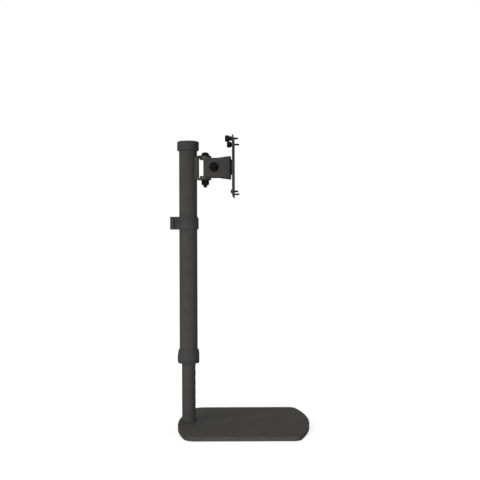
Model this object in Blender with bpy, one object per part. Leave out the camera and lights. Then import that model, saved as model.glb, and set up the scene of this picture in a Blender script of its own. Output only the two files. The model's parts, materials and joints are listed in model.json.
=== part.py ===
"""Monitor stand: a telescopic pole on a flat base plate, and a head that swivels and tilts.

Metres, +Z up. The pole's axis is X = Y = 0, the floor is Z = 0, and the monitor's side is +X.
Each piece is modelled where it sits, then handed to the empty of the body that it moves with.
"""
import math

import bmesh
import bpy
from mathutils import Vector

MM = 0.001
GAP = 0.3 * MM            # air between two pieces that seat on each other
FACETS = 36               # sides of the large round pieces
HIDDEN_FACETS = 28        # sides of round pieces inside the pole
SMALL_FACETS = 16         # sides of bolts, washers and holes
HOLE_FACETS = 12          # sides of small holes and hidden screws

# Base plate and its pads
PLATE_REAR = 20.1 * MM    # from the pole's axis back to the rear edge
PLATE_FRONT = 234.0 * MM  # and forward to the front edge
PLATE_WIDTH = 266.0 * MM
PLATE_THICK = 8.0 * MM
REAR_BOW = 358.0 * MM     # radius of the bowed rear edge
FRONT_BOW = 372.0 * MM
REAR_CORNER = 22.0 * MM
FRONT_CORNER = 16.0 * MM
PLATE_ROUND = 0.9 * MM    # rounding of the plate's upper edge
PAD_THICK = 0.8 * MM
PAD_RADIUS = 12.0 * MM
POLE_PAD_RADIUS = 16.0 * MM

# Inner tube, its foot and its lock holes
INNER_RADIUS = 13.25 * MM
INNER_WALL = 1.5 * MM
INNER_LENGTH = 330.1 * MM
HOLE_PITCH = 18.5 * MM
HOLE_COUNT = 13
HOLE_RADIUS = 3.75 * MM
LOWEST_HOLE = 38.0 * MM   # height of the lowest hole above the floor
HOLES_BELOW_LOCK = 5      # the lock sits in the sixth hole
PLUG_HEIGHT = 18.0 * MM
FOOT_SCREW_CIRCLE = 6.5 * MM
FOOT_SCREW_RADIUS = 2.5 * MM
FOOT_SCREW_HEAD = 4.7 * MM
FOOT_SCREW_GRIP = 11.0 * MM
FOOT_SCREWS = 3
BUSH_HEIGHT = 14.0 * MM
BUSH_SPIGOT = 14.0 * MM
BUSH_BORE = 8.0 * MM

# Outer tube and its cap
OUTER_RADIUS = 17.5 * MM
OUTER_WALL = 1.5 * MM
POLE_TOP = 553.9 * MM     # the cap's top above the floor
CAP_RADIUS = 21.2 * MM
CAP_HEIGHT = 17.9 * MM
CAP_ROOF = 3.1 * MM
CAP_ROUND = 3.0 * MM
CAP_PLUG_DEPTH = 11.0 * MM
CAP_PLUG_WALL = 2.6 * MM

# Collar, with the lock slide inside it
COLLAR_RADIUS = 20.7 * MM
COLLAR_SOCKET = 12.7 * MM  # how far the outer tube stands in the collar
COLLAR_BEVEL = 1.4 * MM
COLLAR_BEVEL_HEIGHT = 7.0 * MM
COLLAR_SHOULDER = 2.0 * MM
COLLAR_BORE_CLEARANCE = 0.35 * MM
RING_HEIGHT = 3.6 * MM
RING_ROUND = 1.6 * MM
SLIDE_HEIGHT = 7.4 * MM
SLIDE_FRONT_WALL = 1.85 * MM
SLIDE_REAR_WALL = 2.1 * MM
SLIDE_SIDE_WALL = 1.8 * MM
SLIDE_CORNER = 12.7 * MM
BUTTON_WIDTH = 13.0 * MM
BUTTON_PROUD = 0.9 * MM
PIN_RADIUS = 3.4 * MM
PIN_REACH = 0.3 * MM      # how far the pin stands inside the tube's wall
PIN_CLEAR = 0.4 * MM      # between the pin and the tube when the button is pressed
SPRING_THICK = 0.4 * MM
SPRING_WIDTH = 5.0 * MM
SPRING_LENGTH = 17.0 * MM
COLLAR_SCREW_RADIUS = 0.9 * MM
COLLAR_SCREW_HEAD = 1.6 * MM
COLLAR_SCREW_WALL = 0.9 * MM  # between the screw's hole and the cavity
COLLAR_SCREW_GRIP = 8.0 * MM
GRUB_RADIUS = 2.0 * MM

# Cable clip
CLIP_BOTTOM = 382.4 * MM
CLIP_HEIGHT = 24.8 * MM
CLIP_WALL = 2.5 * MM
CHANNEL_DEPTH = 14.6 * MM  # from the clip's band back to the channel's rear face
CHANNEL_WIDTH = 19.0 * MM
CHANNEL_WALL = 2.4 * MM
CHANNEL_ROUND = 3.5 * MM
SLOT_WIDTH = 1.6 * MM
SLOT_SETBACK = 8.5 * MM   # from the channel's rear face to the slot's middle
GRIP_COUNT = 3
GRIP_PITCH = 4.0 * MM
GRIP_HEIGHT = 1.3 * MM
GRIP_DEPTH = 0.7 * MM

# Head: clevis, knuckle and yoke
HEAD_DROP = 10.45 * MM    # from the cap's skirt down to the clevis
SWIVEL_AXIS = 33.5 * MM
TILT_AXIS = 51.4 * MM
STEEL = 3.0 * MM          # sheet of the clevis and the knuckle
CLEVIS_HALF = 23.4 * MM   # from the head's height to an ear's outer face
CLEVIS_WIDTH = 24.0 * MM
CLEVIS_BEND = 4.5 * MM
CLEVIS_WEB = 3.0 * MM     # web in front of the tube
NYLON_THICK = 0.85 * MM
NYLON_RADIUS = 9.5 * MM
KNUCKLE_WIDTH = 33.0 * MM
KNUCKLE_REAR = 30.8 * MM
KNUCKLE_FRONT = 57.0 * MM
KNUCKLE_BEND = 4.0 * MM
KNUCKLE_NOSE = 14.0 * MM
LUG_RADIUS = 11.0 * MM
LUG_FILLET = 3.0 * MM
YOKE_STEEL = 2.5 * MM
YOKE_FRONT = 83.5 * MM
YOKE_HALF = 22.0 * MM     # half height of the yoke's front
YOKE_NOSE = 17.0 * MM
YOKE_BEND = 3.2 * MM
YOKE_CORNER = 2.5 * MM

# Swivel and tilt fasteners
SWIVEL_SHANK = 3.9 * MM
SWIVEL_HEAD = 6.6 * MM
SWIVEL_HEAD_HEIGHT = 5.3 * MM
SWIVEL_TAIL = 4.3 * MM
SWIVEL_WASHER = 8.0 * MM
SWIVEL_WASHER_THICK = 1.6 * MM
SWIVEL_NUT_FLATS = 13.0 * MM
SWIVEL_NUT_HEIGHT = 8.0 * MM
TILT_SHANK = 2.9 * MM
TILT_HEAD = 5.3 * MM
TILT_HEAD_HEIGHT = 3.4 * MM
TILT_TAIL = 2.7 * MM
TILT_WASHER = 9.0 * MM
TILT_WASHER_THICK = 1.4 * MM
TILT_NUT_FLATS = 10.0 * MM
TILT_NUT_HEIGHT = 6.0 * MM
TILT_NYLON_THICK = 1.2 * MM
TILT_NYLON_RADIUS = 11.0 * MM
SPACER_RADIUS = 6.0 * MM

# Mounting plate, its pivot and its screws
PLATE_RISE = 1.35 * MM    # pivot above the tilt axis
DISC_RADIUS = 15.0 * MM
DISC_THICK = 3.0 * MM
MOUNT_SIZE = 116.0 * MM
MOUNT_THICK = 2.5 * MM
MOUNT_CORNER = 9.0 * MM
WIDE_PATTERN = 100.0 * MM
NARROW_PATTERN = 75.0 * MM
SCREW_HOLE = 2.4 * MM
PIVOT_SHANK = 3.9 * MM
PIVOT_HEAD = 6.2 * MM
PIVOT_WASHER = 7.5 * MM
PIVOT_WASHER_THICK = 1.6 * MM
PIVOT_NUT_FLATS = 13.0 * MM
PIVOT_NUT_HEIGHT = 8.0 * MM
PIVOT_TAIL = 1.8 * MM
THUMB_RADIUS = 6.1 * MM
THUMB_FLUTE = 0.5 * MM
THUMB_FLUTES = 16
THUMB_HEIGHT = 8.0 * MM
THUMB_NECK = 4.3 * MM
THUMB_NECK_HEIGHT = 4.8 * MM
THREAD_RADIUS = 1.95 * MM
THREAD_REACH = 9.0 * MM   # past the mounting plate's face
LOWER_HEAD = 3.9 * MM
LOWER_HEAD_HEIGHT = 2.4 * MM

# Heights and places that follow from the sizes above
PLATE_BOTTOM = PAD_THICK + GAP
PLATE_TOP = PLATE_BOTTOM + PLATE_THICK
INNER_BOTTOM = PLATE_TOP + GAP
INNER_TOP = INNER_BOTTOM + INNER_LENGTH
INNER_BORE = INNER_RADIUS - INNER_WALL
OUTER_BORE = OUTER_RADIUS - OUTER_WALL
LOCK_HEIGHT = LOWEST_HOLE + HOLES_BELOW_LOCK * HOLE_PITCH
SLIDE_LOW = LOCK_HEIGHT - SLIDE_HEIGHT / 2
SLIDE_HIGH = LOCK_HEIGHT + SLIDE_HEIGHT / 2
RING_TOP = SLIDE_LOW - GAP
RING_BOTTOM = RING_TOP - RING_HEIGHT
COLLAR_BOTTOM = RING_TOP + GAP
CAVITY_TOP = SLIDE_HIGH + GAP
SOCKET_FLOOR = CAVITY_TOP + COLLAR_SHOULDER
OUTER_BOTTOM = SOCKET_FLOOR + GAP
COLLAR_TOP = OUTER_BOTTOM + COLLAR_SOCKET
OUTER_TOP = POLE_TOP - CAP_ROOF - GAP
HEAD_HEIGHT = POLE_TOP - CAP_HEIGHT - HEAD_DROP - CLEVIS_HALF
SLIDE_BORE = INNER_RADIUS + COLLAR_BORE_CLEARANCE
SLIDE_HALF = SLIDE_BORE + SLIDE_SIDE_WALL
PIN_TIP = INNER_BORE - PIN_REACH
SLIDE_TRAVEL = INNER_RADIUS - PIN_TIP + PIN_CLEAR
SLIDE_FRONT = SLIDE_BORE + SLIDE_FRONT_WALL
SLIDE_REAR = SLIDE_BORE + SLIDE_TRAVEL + SLIDE_REAR_WALL
KNUCKLE_HALF = CLEVIS_HALF - STEEL - NYLON_THICK - 2 * GAP
EAR_INNER = KNUCKLE_WIDTH / 2 + TILT_NYLON_THICK + 2 * GAP
EAR_OUTER = EAR_INNER + YOKE_STEEL
PLATE_AXIS_HEIGHT = HEAD_HEIGHT + PLATE_RISE
DISC_BACK = YOKE_FRONT + GAP
MOUNT_BACK = DISC_BACK + DISC_THICK + GAP
MOUNT_FRONT = MOUNT_BACK + MOUNT_THICK

# Colours of the finishes, as base colour, roughness and metallic value
FINISHES = {
    "powder_coat": ((0.058, 0.056, 0.055), 0.55, 0.0),
    "moulding": ((0.052, 0.051, 0.052), 0.50, 0.0),
    "rubber": ((0.022, 0.022, 0.022), 0.85, 0.0),
    "black_steel": ((0.020, 0.020, 0.021), 0.35, 0.8),
    "bright_steel": ((0.45, 0.45, 0.46), 0.30, 1.0),
    "nylon": ((0.60, 0.59, 0.56), 0.45, 0.0),
}


# Points and outlines

def arc(centre, radius, start, end, steps):
    """Points on an arc, in the plane, from one angle in degrees to another."""
    x, y = centre
    turns = [math.radians(start + (end - start) * i / steps) for i in range(steps + 1)]
    return [(x + radius * math.cos(a), y + radius * math.sin(a)) for a in turns]


def circle(centre, radius, facets):
    """Points round a full circle."""
    return arc(centre, radius, 0, 360, facets)[:-1]


def rounded(corners, steps=4):
    """Outline through corners (x, y, radius), each turned into an arc of its own radius."""
    outline = []
    for i, (x, y, radius) in enumerate(corners):
        here = Vector((x, y))
        back = (Vector(corners[i - 1][:2]) - here).normalized()
        ahead = (Vector(corners[(i + 1) % len(corners)][:2]) - here).normalized()
        if radius == 0:
            outline.append((x, y))
            continue
        half = math.acos(max(-1.0, min(1.0, back.dot(ahead)))) / 2
        centre = here + (back + ahead).normalized() * (radius / math.sin(half))
        start = here + back * (radius / math.tan(half)) - centre
        end = here + ahead * (radius / math.tan(half)) - centre
        first = math.degrees(math.atan2(start.y, start.x))
        sweep = (math.degrees(math.atan2(end.y, end.x)) - first + 180) % 360 - 180
        outline.extend(arc(centre, radius, first, first + sweep, steps))
    return outline


def box_outline(low, high, radius=0.0):
    """Outline of a rectangle with equal corners."""
    return rounded([(low[0], low[1], radius), (high[0], low[1], radius),
                    (high[0], high[1], radius), (low[0], high[1], radius)])


# Solids

def solid(name, mesh):
    """Puts a finished bmesh into the scene as one object with its faces pointing out."""
    bmesh.ops.remove_doubles(mesh, verts=mesh.verts, dist=0.000001)
    bmesh.ops.recalc_face_normals(mesh, faces=mesh.faces)
    data = bpy.data.meshes.new(name)
    mesh.to_mesh(data)
    mesh.free()
    piece = bpy.data.objects.new(name, data)
    bpy.context.scene.collection.objects.link(piece)
    return piece


def loft(name, rings, looped=False):
    """Solid skinned over rings of equally many points. A looped one joins its ends: a bored piece."""
    mesh = bmesh.new()
    loops = [[mesh.verts.new(point) for point in ring] for ring in rings]
    for first, second in zip(loops, loops[1:] + loops[:1] if looped else loops[1:]):
        for i in range(len(first)):
            j = (i + 1) % len(first)
            mesh.faces.new((first[i], first[j], second[j], second[i]))
    if not looped:
        mesh.faces.new(loops[0][::-1])
        mesh.faces.new(loops[-1])
    return solid(name, mesh)


def prism(name, outline, low, high, axis="Z"):
    """Solid of one outline carried along an axis. Outlines are XY, XZ or YZ for Z, Y or X."""
    lay = {"Z": lambda u, v, w: (u, v, w), "Y": lambda u, v, w: (u, w, v), "X": lambda u, v, w: (w, u, v)}
    return loft(name, [[lay[axis](u, v, w) for u, v in outline] for w in (low, high)])


def turned(name, profile, facets=FACETS):
    """Solid of a profile (radius, height) spun about Z. A profile with a bore is a closed loop."""
    mesh = bmesh.new()
    verts = [mesh.verts.new((radius, 0, height)) for radius, height in profile]
    edges = [mesh.edges.new(pair) for pair in zip(verts, verts[1:])]
    if profile[0][0] > 0:
        edges.append(mesh.edges.new((verts[-1], verts[0])))
    bmesh.ops.spin(mesh, geom=verts + edges, cent=(0, 0, 0), axis=(0, 0, 1),
                   angle=math.tau, steps=facets, use_merge=True)
    return solid(name, mesh)


def tube(name, inner, outer, low, high, facets=FACETS, edge=0.0):
    """Plain tube or washer on Z, with an optional bevel on its outer edges."""
    profile = [(inner, low), (outer - edge, low), (outer, low + edge),
               (outer, high - edge), (outer - edge, high), (inner, high)]
    return turned(name, profile if edge else [profile[i] for i in (0, 1, 4, 5)], facets)


def aim(piece, axis, at):
    """Turns a piece's +Z to a direction and moves its zero to a point."""
    turn = Vector((0, 0, 1)).rotation_difference(Vector(axis)).to_matrix().to_4x4()
    turn.translation = Vector(at)
    piece.data.transform(turn)
    return piece


def boolean(piece, tools, operation):
    """Cuts, joins or trims a piece with tools that are used up."""
    for tool in tools:
        modifier = piece.modifiers.new(operation, "BOOLEAN")
        modifier.operation = operation
        modifier.solver = "EXACT"
        modifier.object = tool
        tool.hide_render = True
        tool.display_type = "WIRE"
        graph = bpy.context.evaluated_depsgraph_get()
        result = bpy.data.meshes.new_from_object(piece.evaluated_get(graph))
        result.name = piece.name
        piece.modifiers.clear()
        piece.data = result
        bpy.data.objects.remove(tool)
    return piece


def cut(piece, *tools):
    return boolean(piece, tools, "DIFFERENCE")


def join(piece, *tools):
    return boolean(piece, tools, "UNION")


def trim(piece, *tools):
    return boolean(piece, tools, "INTERSECT")


def rod(radius, low, high, axis="Z", centre=(0, 0), facets=SMALL_FACETS):
    """Round cutter, as long as it is told."""
    return prism("cutter", circle(centre, radius, facets), low, high, axis)


# Fasteners, made on Z with the seat of the head or nut at Z = 0

def socket(flats, low, high):
    """Hexagon recess."""
    return prism("cutter", circle((0, 0), flats / math.sqrt(3), 6), low, high)


def button_bolt(name, shank, head, head_height, length, flats):
    """Domed head above Z = 0 with a hexagon recess, and a plain shank below it."""
    dome = [(head * math.sin(math.radians(a)), head_height * (0.35 + 0.65 * math.cos(math.radians(a))))
            for a in (0, 30, 58, 90)]
    profile = dome + [(head, 0), (shank, 0), (shank, -length + shank * 0.2), (shank * 0.8, -length),
                      (0, -length)]
    return cut(turned(name, profile, SMALL_FACETS), socket(flats, head_height * 0.35, head_height * 2))


def flush_screw(name, shank, head, length, flats, facets=HOLE_FACETS):
    """Countersunk screw: its flat head is level with Z = 0 and the shank runs up from there."""
    depth = head - shank
    profile = [(0, 0), (head, 0), (shank, depth), (shank, length - shank * 0.2), (shank * 0.8, length),
               (0, length)]
    return cut(turned(name, profile, facets), socket(flats, -head, depth * 0.8))


def countersink(shank, head, length, facets=HOLE_FACETS):
    """Cutter for a flush screw's hole, larger all round by the gap."""
    over = 1.0 * MM
    profile = [(0, -over), (head + GAP + over, -over), (shank + GAP, head - shank),
               (shank + GAP, length), (0, length)]
    return turned("cutter", profile, facets)


def lock_nut(name, bore, flats, height):
    """Hexagon nut with bevelled corners and a round nylon collar on its far end."""
    facets = 12
    hexagon_share = 0.88
    crown = 0.94 * flats / 2

    def ring(radius, level):
        return [(radius * math.cos(math.tau * i / facets), radius * math.sin(math.tau * i / facets), level)
                for i in range(facets)]

    def bevelled(level, away):
        points = []
        for i in range(facets):
            turn = math.tau * i / facets
            reach = flats / 2 / math.cos((turn + math.pi / 6) % (math.pi / 3) - math.pi / 6)
            drop = (reach - crown) * math.tan(math.radians(30))
            points.append((reach * math.cos(turn), reach * math.sin(turn), level + away * drop))
        return points

    top = height * hexagon_share
    rings = [ring(bore, 0), ring(crown, 0), bevelled(0, 1), bevelled(top, -1), ring(crown, top),
             ring(crown * 0.97, height - 0.5 * MM), ring(crown * 0.9, height), ring(bore, height)]
    return loft(name, rings, looped=True)


# Pieces of the base

def plate_outline(inset=0.0):
    """Plan of the base plate: bowed front and rear, straight sides, round corners."""
    half = PLATE_WIDTH / 2 - inset
    outline = []
    for side, edge, bow, corner in ((1, PLATE_FRONT, FRONT_BOW, FRONT_CORNER),
                                    (-1, PLATE_REAR, REAR_BOW, REAR_CORNER)):
        x = corner_place(edge, bow, corner)
        y = PLATE_WIDTH / 2 - corner
        bow_centre = edge - bow
        swing = math.degrees(math.atan2(y, x - bow_centre))
        quarter = arc((x, -y), corner - inset, -90, -swing, 6)
        quarter += arc((bow_centre, 0), bow - inset, -swing, swing, 14)[1:-1]
        quarter += arc((x, y), corner - inset, swing, 90, 6)
        outline += [(side * u, side * v) for u, v in quarter]
    return outline


def corner_place(edge, bow, corner):
    """How far from the pole a plate corner's centre lies, so that its arc meets the bow smoothly."""
    run = PLATE_WIDTH / 2 - corner
    return edge - bow + math.sqrt((bow - corner) ** 2 - run ** 2)


def foot_screw_places():
    turns = [math.tau * i / FOOT_SCREWS for i in range(FOOT_SCREWS)]
    return [(FOOT_SCREW_CIRCLE * math.cos(a), FOOT_SCREW_CIRCLE * math.sin(a)) for a in turns]


def foot_screw_length():
    return PLATE_THICK + FOOT_SCREW_GRIP


def base_plate():
    levels = [(PLATE_ROUND / 2, PLATE_BOTTOM), (0, PLATE_BOTTOM + PLATE_ROUND / 2)]
    for angle in (0, 45, 90):
        level = PLATE_TOP - PLATE_ROUND * (1 - math.sin(math.radians(angle)))
        levels.append((PLATE_ROUND * (1 - math.cos(math.radians(angle))), level))
    piece = loft("base_plate", [[(x, y, z) for x, y in plate_outline(inset)] for inset, z in levels])
    for x, y in foot_screw_places():
        hole = countersink(FOOT_SCREW_RADIUS, FOOT_SCREW_HEAD, PLATE_THICK * 2)
        cut(piece, aim(hole, (0, 0, 1), (x, y, PLATE_BOTTOM)))
    return piece


def pads():
    """A pad under each corner of the plate, and one over the foot screws under the pole."""
    places = {"pad_pole": ((0, 0), POLE_PAD_RADIUS)}
    for end, side, edge, bow, corner in (("front", 1, PLATE_FRONT, FRONT_BOW, FRONT_CORNER),
                                         ("rear", -1, PLATE_REAR, REAR_BOW, REAR_CORNER)):
        x = side * corner_place(edge, bow, corner)
        y = PLATE_WIDTH / 2 - corner
        places["pad_" + end + "_near"] = ((x, -y), PAD_RADIUS)
        places["pad_" + end + "_far"] = ((x, y), PAD_RADIUS)
    pieces = []
    for name, ((x, y), radius) in places.items():
        profile = [(0, 0), (radius - PAD_THICK / 4, 0), (radius, PAD_THICK / 4), (radius, PAD_THICK),
                   (0, PAD_THICK)]
        pieces.append(aim(turned(name, profile, SMALL_FACETS), (0, 0, 1), (x, y, 0)))
    return pieces


def foot_plug():
    """Steel plug in the tube's foot, with a blind hole for each screw."""
    radius = INNER_BORE - GAP
    top = INNER_BOTTOM + PLUG_HEIGHT
    profile = [(0, INNER_BOTTOM), (radius, INNER_BOTTOM), (radius, top - MM), (radius - MM, top), (0, top)]
    piece = turned("foot_plug", profile, HIDDEN_FACETS)
    depth = PLATE_BOTTOM + foot_screw_length() + MM
    for place in foot_screw_places():
        cut(piece, rod(FOOT_SCREW_RADIUS + GAP, 0, depth, centre=place, facets=HOLE_FACETS))
    return piece


def foot_screws():
    pieces = []
    for i, (x, y) in enumerate(foot_screw_places()):
        screw = flush_screw("foot_screw_%d" % (i + 1), FOOT_SCREW_RADIUS, FOOT_SCREW_HEAD,
                            foot_screw_length(), FOOT_SCREW_RADIUS * 1.2)
        pieces.append(aim(screw, (0, 0, 1), (x, y, PLATE_BOTTOM)))
    return pieces


def inner_tube():
    piece = tube("inner_tube", INNER_BORE, INNER_RADIUS, INNER_BOTTOM, INNER_TOP)
    for i in range(HOLE_COUNT):
        height = LOWEST_HOLE + i * HOLE_PITCH
        cut(piece, rod(HOLE_RADIUS, 0, INNER_RADIUS * 2, "X", (0, height), HOLE_FACETS))
    return piece


def guide_bush():
    """Plastic bush: a spigot in the inner tube and two bearing ribs that run in the outer one."""
    seat = INNER_TOP + GAP
    rib = OUTER_BORE - GAP
    groove = rib - 1.2 * MM
    spigot = INNER_BORE - GAP
    third = BUSH_HEIGHT / 3
    foot = seat - BUSH_SPIGOT
    top = seat + BUSH_HEIGHT
    profile = [(BUSH_BORE, foot), (spigot - MM, foot), (spigot, foot + MM), (spigot, seat), (rib, seat),
               (rib, seat + third), (groove, seat + third), (groove, top - third), (rib, top - third),
               (rib, top - MM), (rib - MM, top), (BUSH_BORE, top)]
    return turned("guide_bush", profile, HIDDEN_FACETS)


# Pieces of the sliding column

def outer_tube():
    return tube("outer_tube", OUTER_BORE, OUTER_RADIUS, OUTER_BOTTOM, OUTER_TOP)


def top_cap():
    """Moulded cap: a skirt round the tube, and a ring inside it that centres the cap."""
    foot = POLE_TOP - CAP_HEIGHT
    roof = POLE_TOP - CAP_ROOF
    bore = OUTER_RADIUS + GAP
    plug = OUTER_BORE - GAP
    lip = 1.0 * MM
    shoulder = arc((CAP_RADIUS - CAP_ROUND, POLE_TOP - CAP_ROUND), CAP_ROUND, 90, 0, 4)
    profile = [(0, POLE_TOP)] + shoulder
    plug_foot = roof - CAP_PLUG_DEPTH
    plug_bore = plug - CAP_PLUG_WALL
    profile += [(CAP_RADIUS, foot + lip), (CAP_RADIUS - lip, foot), (bore, foot), (bore, roof), (plug, roof),
                (plug, plug_foot + lip), (plug - lip, plug_foot), (plug_bore, plug_foot), (plug_bore, roof),
                (0, roof)]
    return turned("top_cap", profile)


def slide_outline(grow=0.0, travel=0.0):
    """Plan of the lock slide's ring, or of the cavity that it travels in."""
    return rounded([(-SLIDE_REAR - grow, -SLIDE_HALF - grow, SLIDE_CORNER + grow),
                    (SLIDE_FRONT + travel + grow, -SLIDE_HALF - grow, SLIDE_CORNER + grow),
                    (SLIDE_FRONT + travel + grow, SLIDE_HALF + grow, SLIDE_CORNER + grow),
                    (-SLIDE_REAR - grow, SLIDE_HALF + grow, SLIDE_CORNER + grow)], 6)


def collar_screw_offset():
    """Where the two screws sit, in the collar's side walls beside the cavity."""
    return SLIDE_HALF + GAP + COLLAR_SCREW_WALL + COLLAR_SCREW_RADIUS + GAP


def collar():
    """Collar body: a socket for the outer tube above, and the slide's cavity open below."""
    bore = INNER_RADIUS + COLLAR_BORE_CLEARANCE
    shoulder = COLLAR_TOP - COLLAR_BEVEL_HEIGHT
    seat = OUTER_RADIUS + GAP
    profile = [(bore, COLLAR_BOTTOM), (COLLAR_RADIUS, COLLAR_BOTTOM), (COLLAR_RADIUS, shoulder),
               (COLLAR_RADIUS - COLLAR_BEVEL, COLLAR_TOP), (seat, COLLAR_TOP), (seat, SOCKET_FLOOR),
               (bore, SOCKET_FLOOR)]
    piece = turned("collar", profile)
    half_button = BUTTON_WIDTH / 2 + GAP
    below = COLLAR_BOTTOM - RING_HEIGHT
    cut(piece,
        prism("cutter", slide_outline(GAP, SLIDE_TRAVEL), below, CAVITY_TOP),
        prism("cutter", box_outline((-COLLAR_RADIUS * 1.2, -half_button), (-INNER_RADIUS, half_button)),
              below, CAVITY_TOP),
        rod(GRUB_RADIUS + GAP, OUTER_BORE, COLLAR_RADIUS * 1.2, "Y", (0, grub_height()), HOLE_FACETS))
    top = RING_BOTTOM + collar_screw_length() + MM
    for side in (-1, 1):
        place = (0, side * collar_screw_offset())
        cut(piece, rod(COLLAR_SCREW_RADIUS + GAP, below, top, centre=place, facets=HOLE_FACETS))
    return piece


def grub_height():
    return (OUTER_BOTTOM + COLLAR_TOP) / 2


def collar_screw_length():
    return RING_HEIGHT + COLLAR_SCREW_GRIP


def collar_ring():
    """Lower ring: it closes the cavity under the slide and guides the inner tube."""
    bore = INNER_RADIUS + COLLAR_BORE_CLEARANCE
    rounding = arc((COLLAR_RADIUS - RING_ROUND, RING_BOTTOM + RING_ROUND), RING_ROUND, -90, 0, 3)
    profile = [(bore, RING_BOTTOM)] + rounding + [(COLLAR_RADIUS, RING_TOP), (bore, RING_TOP)]
    piece = turned("collar_ring", profile)
    for side in (-1, 1):
        hole = countersink(COLLAR_SCREW_RADIUS, COLLAR_SCREW_HEAD, RING_HEIGHT * 2)
        cut(piece, aim(hole, (0, 0, 1), (0, side * collar_screw_offset(), RING_BOTTOM)))
    return piece


def collar_screws():
    pieces = []
    length = collar_screw_length()
    for name, side in (("collar_screw_near", -1), ("collar_screw_far", 1)):
        screw = flush_screw(name, COLLAR_SCREW_RADIUS, COLLAR_SCREW_HEAD, length, COLLAR_SCREW_RADIUS)
        pieces.append(aim(screw, (0, 0, 1), (0, side * collar_screw_offset(), RING_BOTTOM)))
    return pieces


def grub_screw():
    """Socket screw in the collar's far wall, flush with it, that bears on the outer tube."""
    inside = OUTER_RADIUS + GAP
    length = COLLAR_RADIUS - inside - GAP
    piece = turned("grub_screw", [(0, 0), (GRUB_RADIUS * 0.8, 0), (GRUB_RADIUS, GRUB_RADIUS * 0.2),
                                  (GRUB_RADIUS, length), (0, length)], HOLE_FACETS)
    cut(piece, socket(GRUB_RADIUS, length / 2, length * 2))
    return aim(piece, (0, 1, 0), (0, inside, grub_height()))


def lock_slide():
    """Ring round the inner tube, with the button at its rear and the pin at its front."""
    face = COLLAR_RADIUS + BUTTON_PROUD
    half = BUTTON_WIDTH / 2
    swing = math.degrees(math.asin(half / face))
    piece = prism("lock_slide", slide_outline(), SLIDE_LOW, SLIDE_HIGH)
    button = arc((0, 0), face, 180 - swing, 180 + swing, 6)
    button += [(-INNER_RADIUS, -half), (-INNER_RADIUS, half)]
    join(piece, prism("button", button, SLIDE_LOW, SLIDE_HIGH))
    bore = arc((0, 0), SLIDE_BORE, -90, 90, 12) + arc((-SLIDE_TRAVEL, 0), SLIDE_BORE, 90, 270, 12)
    cut(piece, prism("cutter", bore, SLIDE_LOW - MM, SLIDE_HIGH + MM))
    root = SLIDE_FRONT - SLIDE_FRONT_WALL / 2
    return join(piece, rod(PIN_RADIUS, PIN_TIP, root, "X", (0, LOCK_HEIGHT), HOLE_FACETS))


def lock_spring():
    """Leaf spring between the slide's front and the cavity's front wall."""
    near = SLIDE_FRONT + GAP
    half = SPRING_LENGTH / 2
    strip = box_outline((near, -half), (near + SPRING_THICK, half))
    return prism("lock_spring", strip, LOCK_HEIGHT - SPRING_WIDTH / 2, LOCK_HEIGHT + SPRING_WIDTH / 2)


def cable_clip():
    """Band round the outer tube, with a channel behind that a cable is pushed into sideways."""
    bore = OUTER_RADIUS + GAP
    band = bore + CLIP_WALL
    low, high = CLIP_BOTTOM, CLIP_BOTTOM + CLIP_HEIGHT
    rear = -(band + CHANNEL_DEPTH)
    half = CHANNEL_WIDTH / 2
    piece = tube("cable_clip", OUTER_RADIUS * 0.8, band, low, high, edge=0.6 * MM)
    channel = box_outline((rear, -half), (-OUTER_RADIUS * 0.7, half), CHANNEL_ROUND)
    join(piece, prism("channel", channel, low, high))
    inner = box_outline((rear + CHANNEL_WALL, -half + CHANNEL_WALL), (-band - MM, half - CHANNEL_WALL),
                        CHANNEL_ROUND - CHANNEL_WALL)
    slot = rear + SLOT_SETBACK
    cut(piece,
        rod(bore, low - MM, high + MM, facets=FACETS),
        prism("cutter", inner, low - MM, high + MM),
        prism("cutter", box_outline((slot - SLOT_WIDTH / 2, -half - MM), (slot + SLOT_WIDTH / 2, 0)),
              low - MM, high + MM))
    for i in range(GRIP_COUNT):
        foot = (low + high) / 2 + (i - (GRIP_COUNT - 1) / 2) * GRIP_PITCH - GRIP_HEIGHT / 2
        groove = tube("cutter", band - GRIP_DEPTH, band + MM, foot, foot + GRIP_HEIGHT)
        reach = box_outline((-band * 0.86, -band * 2), (-band * 0.55, band * 2))
        cut(piece, trim(groove, prism("cutter", reach, low, high)))
    return piece


# Pieces of the head

def clevis_bracket():
    """Saddle on the tube with an ear above and below the knuckle."""
    saddle = OUTER_RADIUS * 0.66
    web = OUTER_RADIUS + GAP + CLEVIS_WEB
    front = SWIVEL_AXIS + CLEVIS_WIDTH / 2
    low, high = HEAD_HEIGHT - CLEVIS_HALF, HEAD_HEIGHT + CLEVIS_HALF
    inner = CLEVIS_BEND - STEEL
    side = rounded([(saddle, low, 0), (front, low, 0), (front, low + STEEL, 0),
                    (web, low + STEEL, inner), (web, high - STEEL, inner),
                    (front, high - STEEL, 0), (front, high, 0), (saddle, high, 0)])
    half = CLEVIS_WIDTH / 2
    piece = prism("clevis_bracket", side, -half, half, "Y")
    plan = [(0, -half)] + arc((SWIVEL_AXIS, 0), half, -90, 90, 12) + [(0, half)]
    trim(piece, prism("cutter", plan, low - MM, high + MM))
    return cut(piece,
               rod(OUTER_RADIUS + GAP, low - MM, high + MM, facets=FACETS),
               rod(SWIVEL_SHANK + GAP, low - MM, high + MM, centre=(SWIVEL_AXIS, 0)))


def nylon_washers():
    """One between each ear of the clevis and the knuckle."""
    face = KNUCKLE_HALF + GAP
    pieces = []
    for name, low in (("nylon_washer_top", face), ("nylon_washer_bottom", -face - NYLON_THICK)):
        piece = tube(name, SWIVEL_SHANK + GAP, NYLON_RADIUS, low, low + NYLON_THICK, SMALL_FACETS)
        pieces.append(aim(piece, (0, 0, 1), (SWIVEL_AXIS, 0, HEAD_HEIGHT)))
    return pieces


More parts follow.
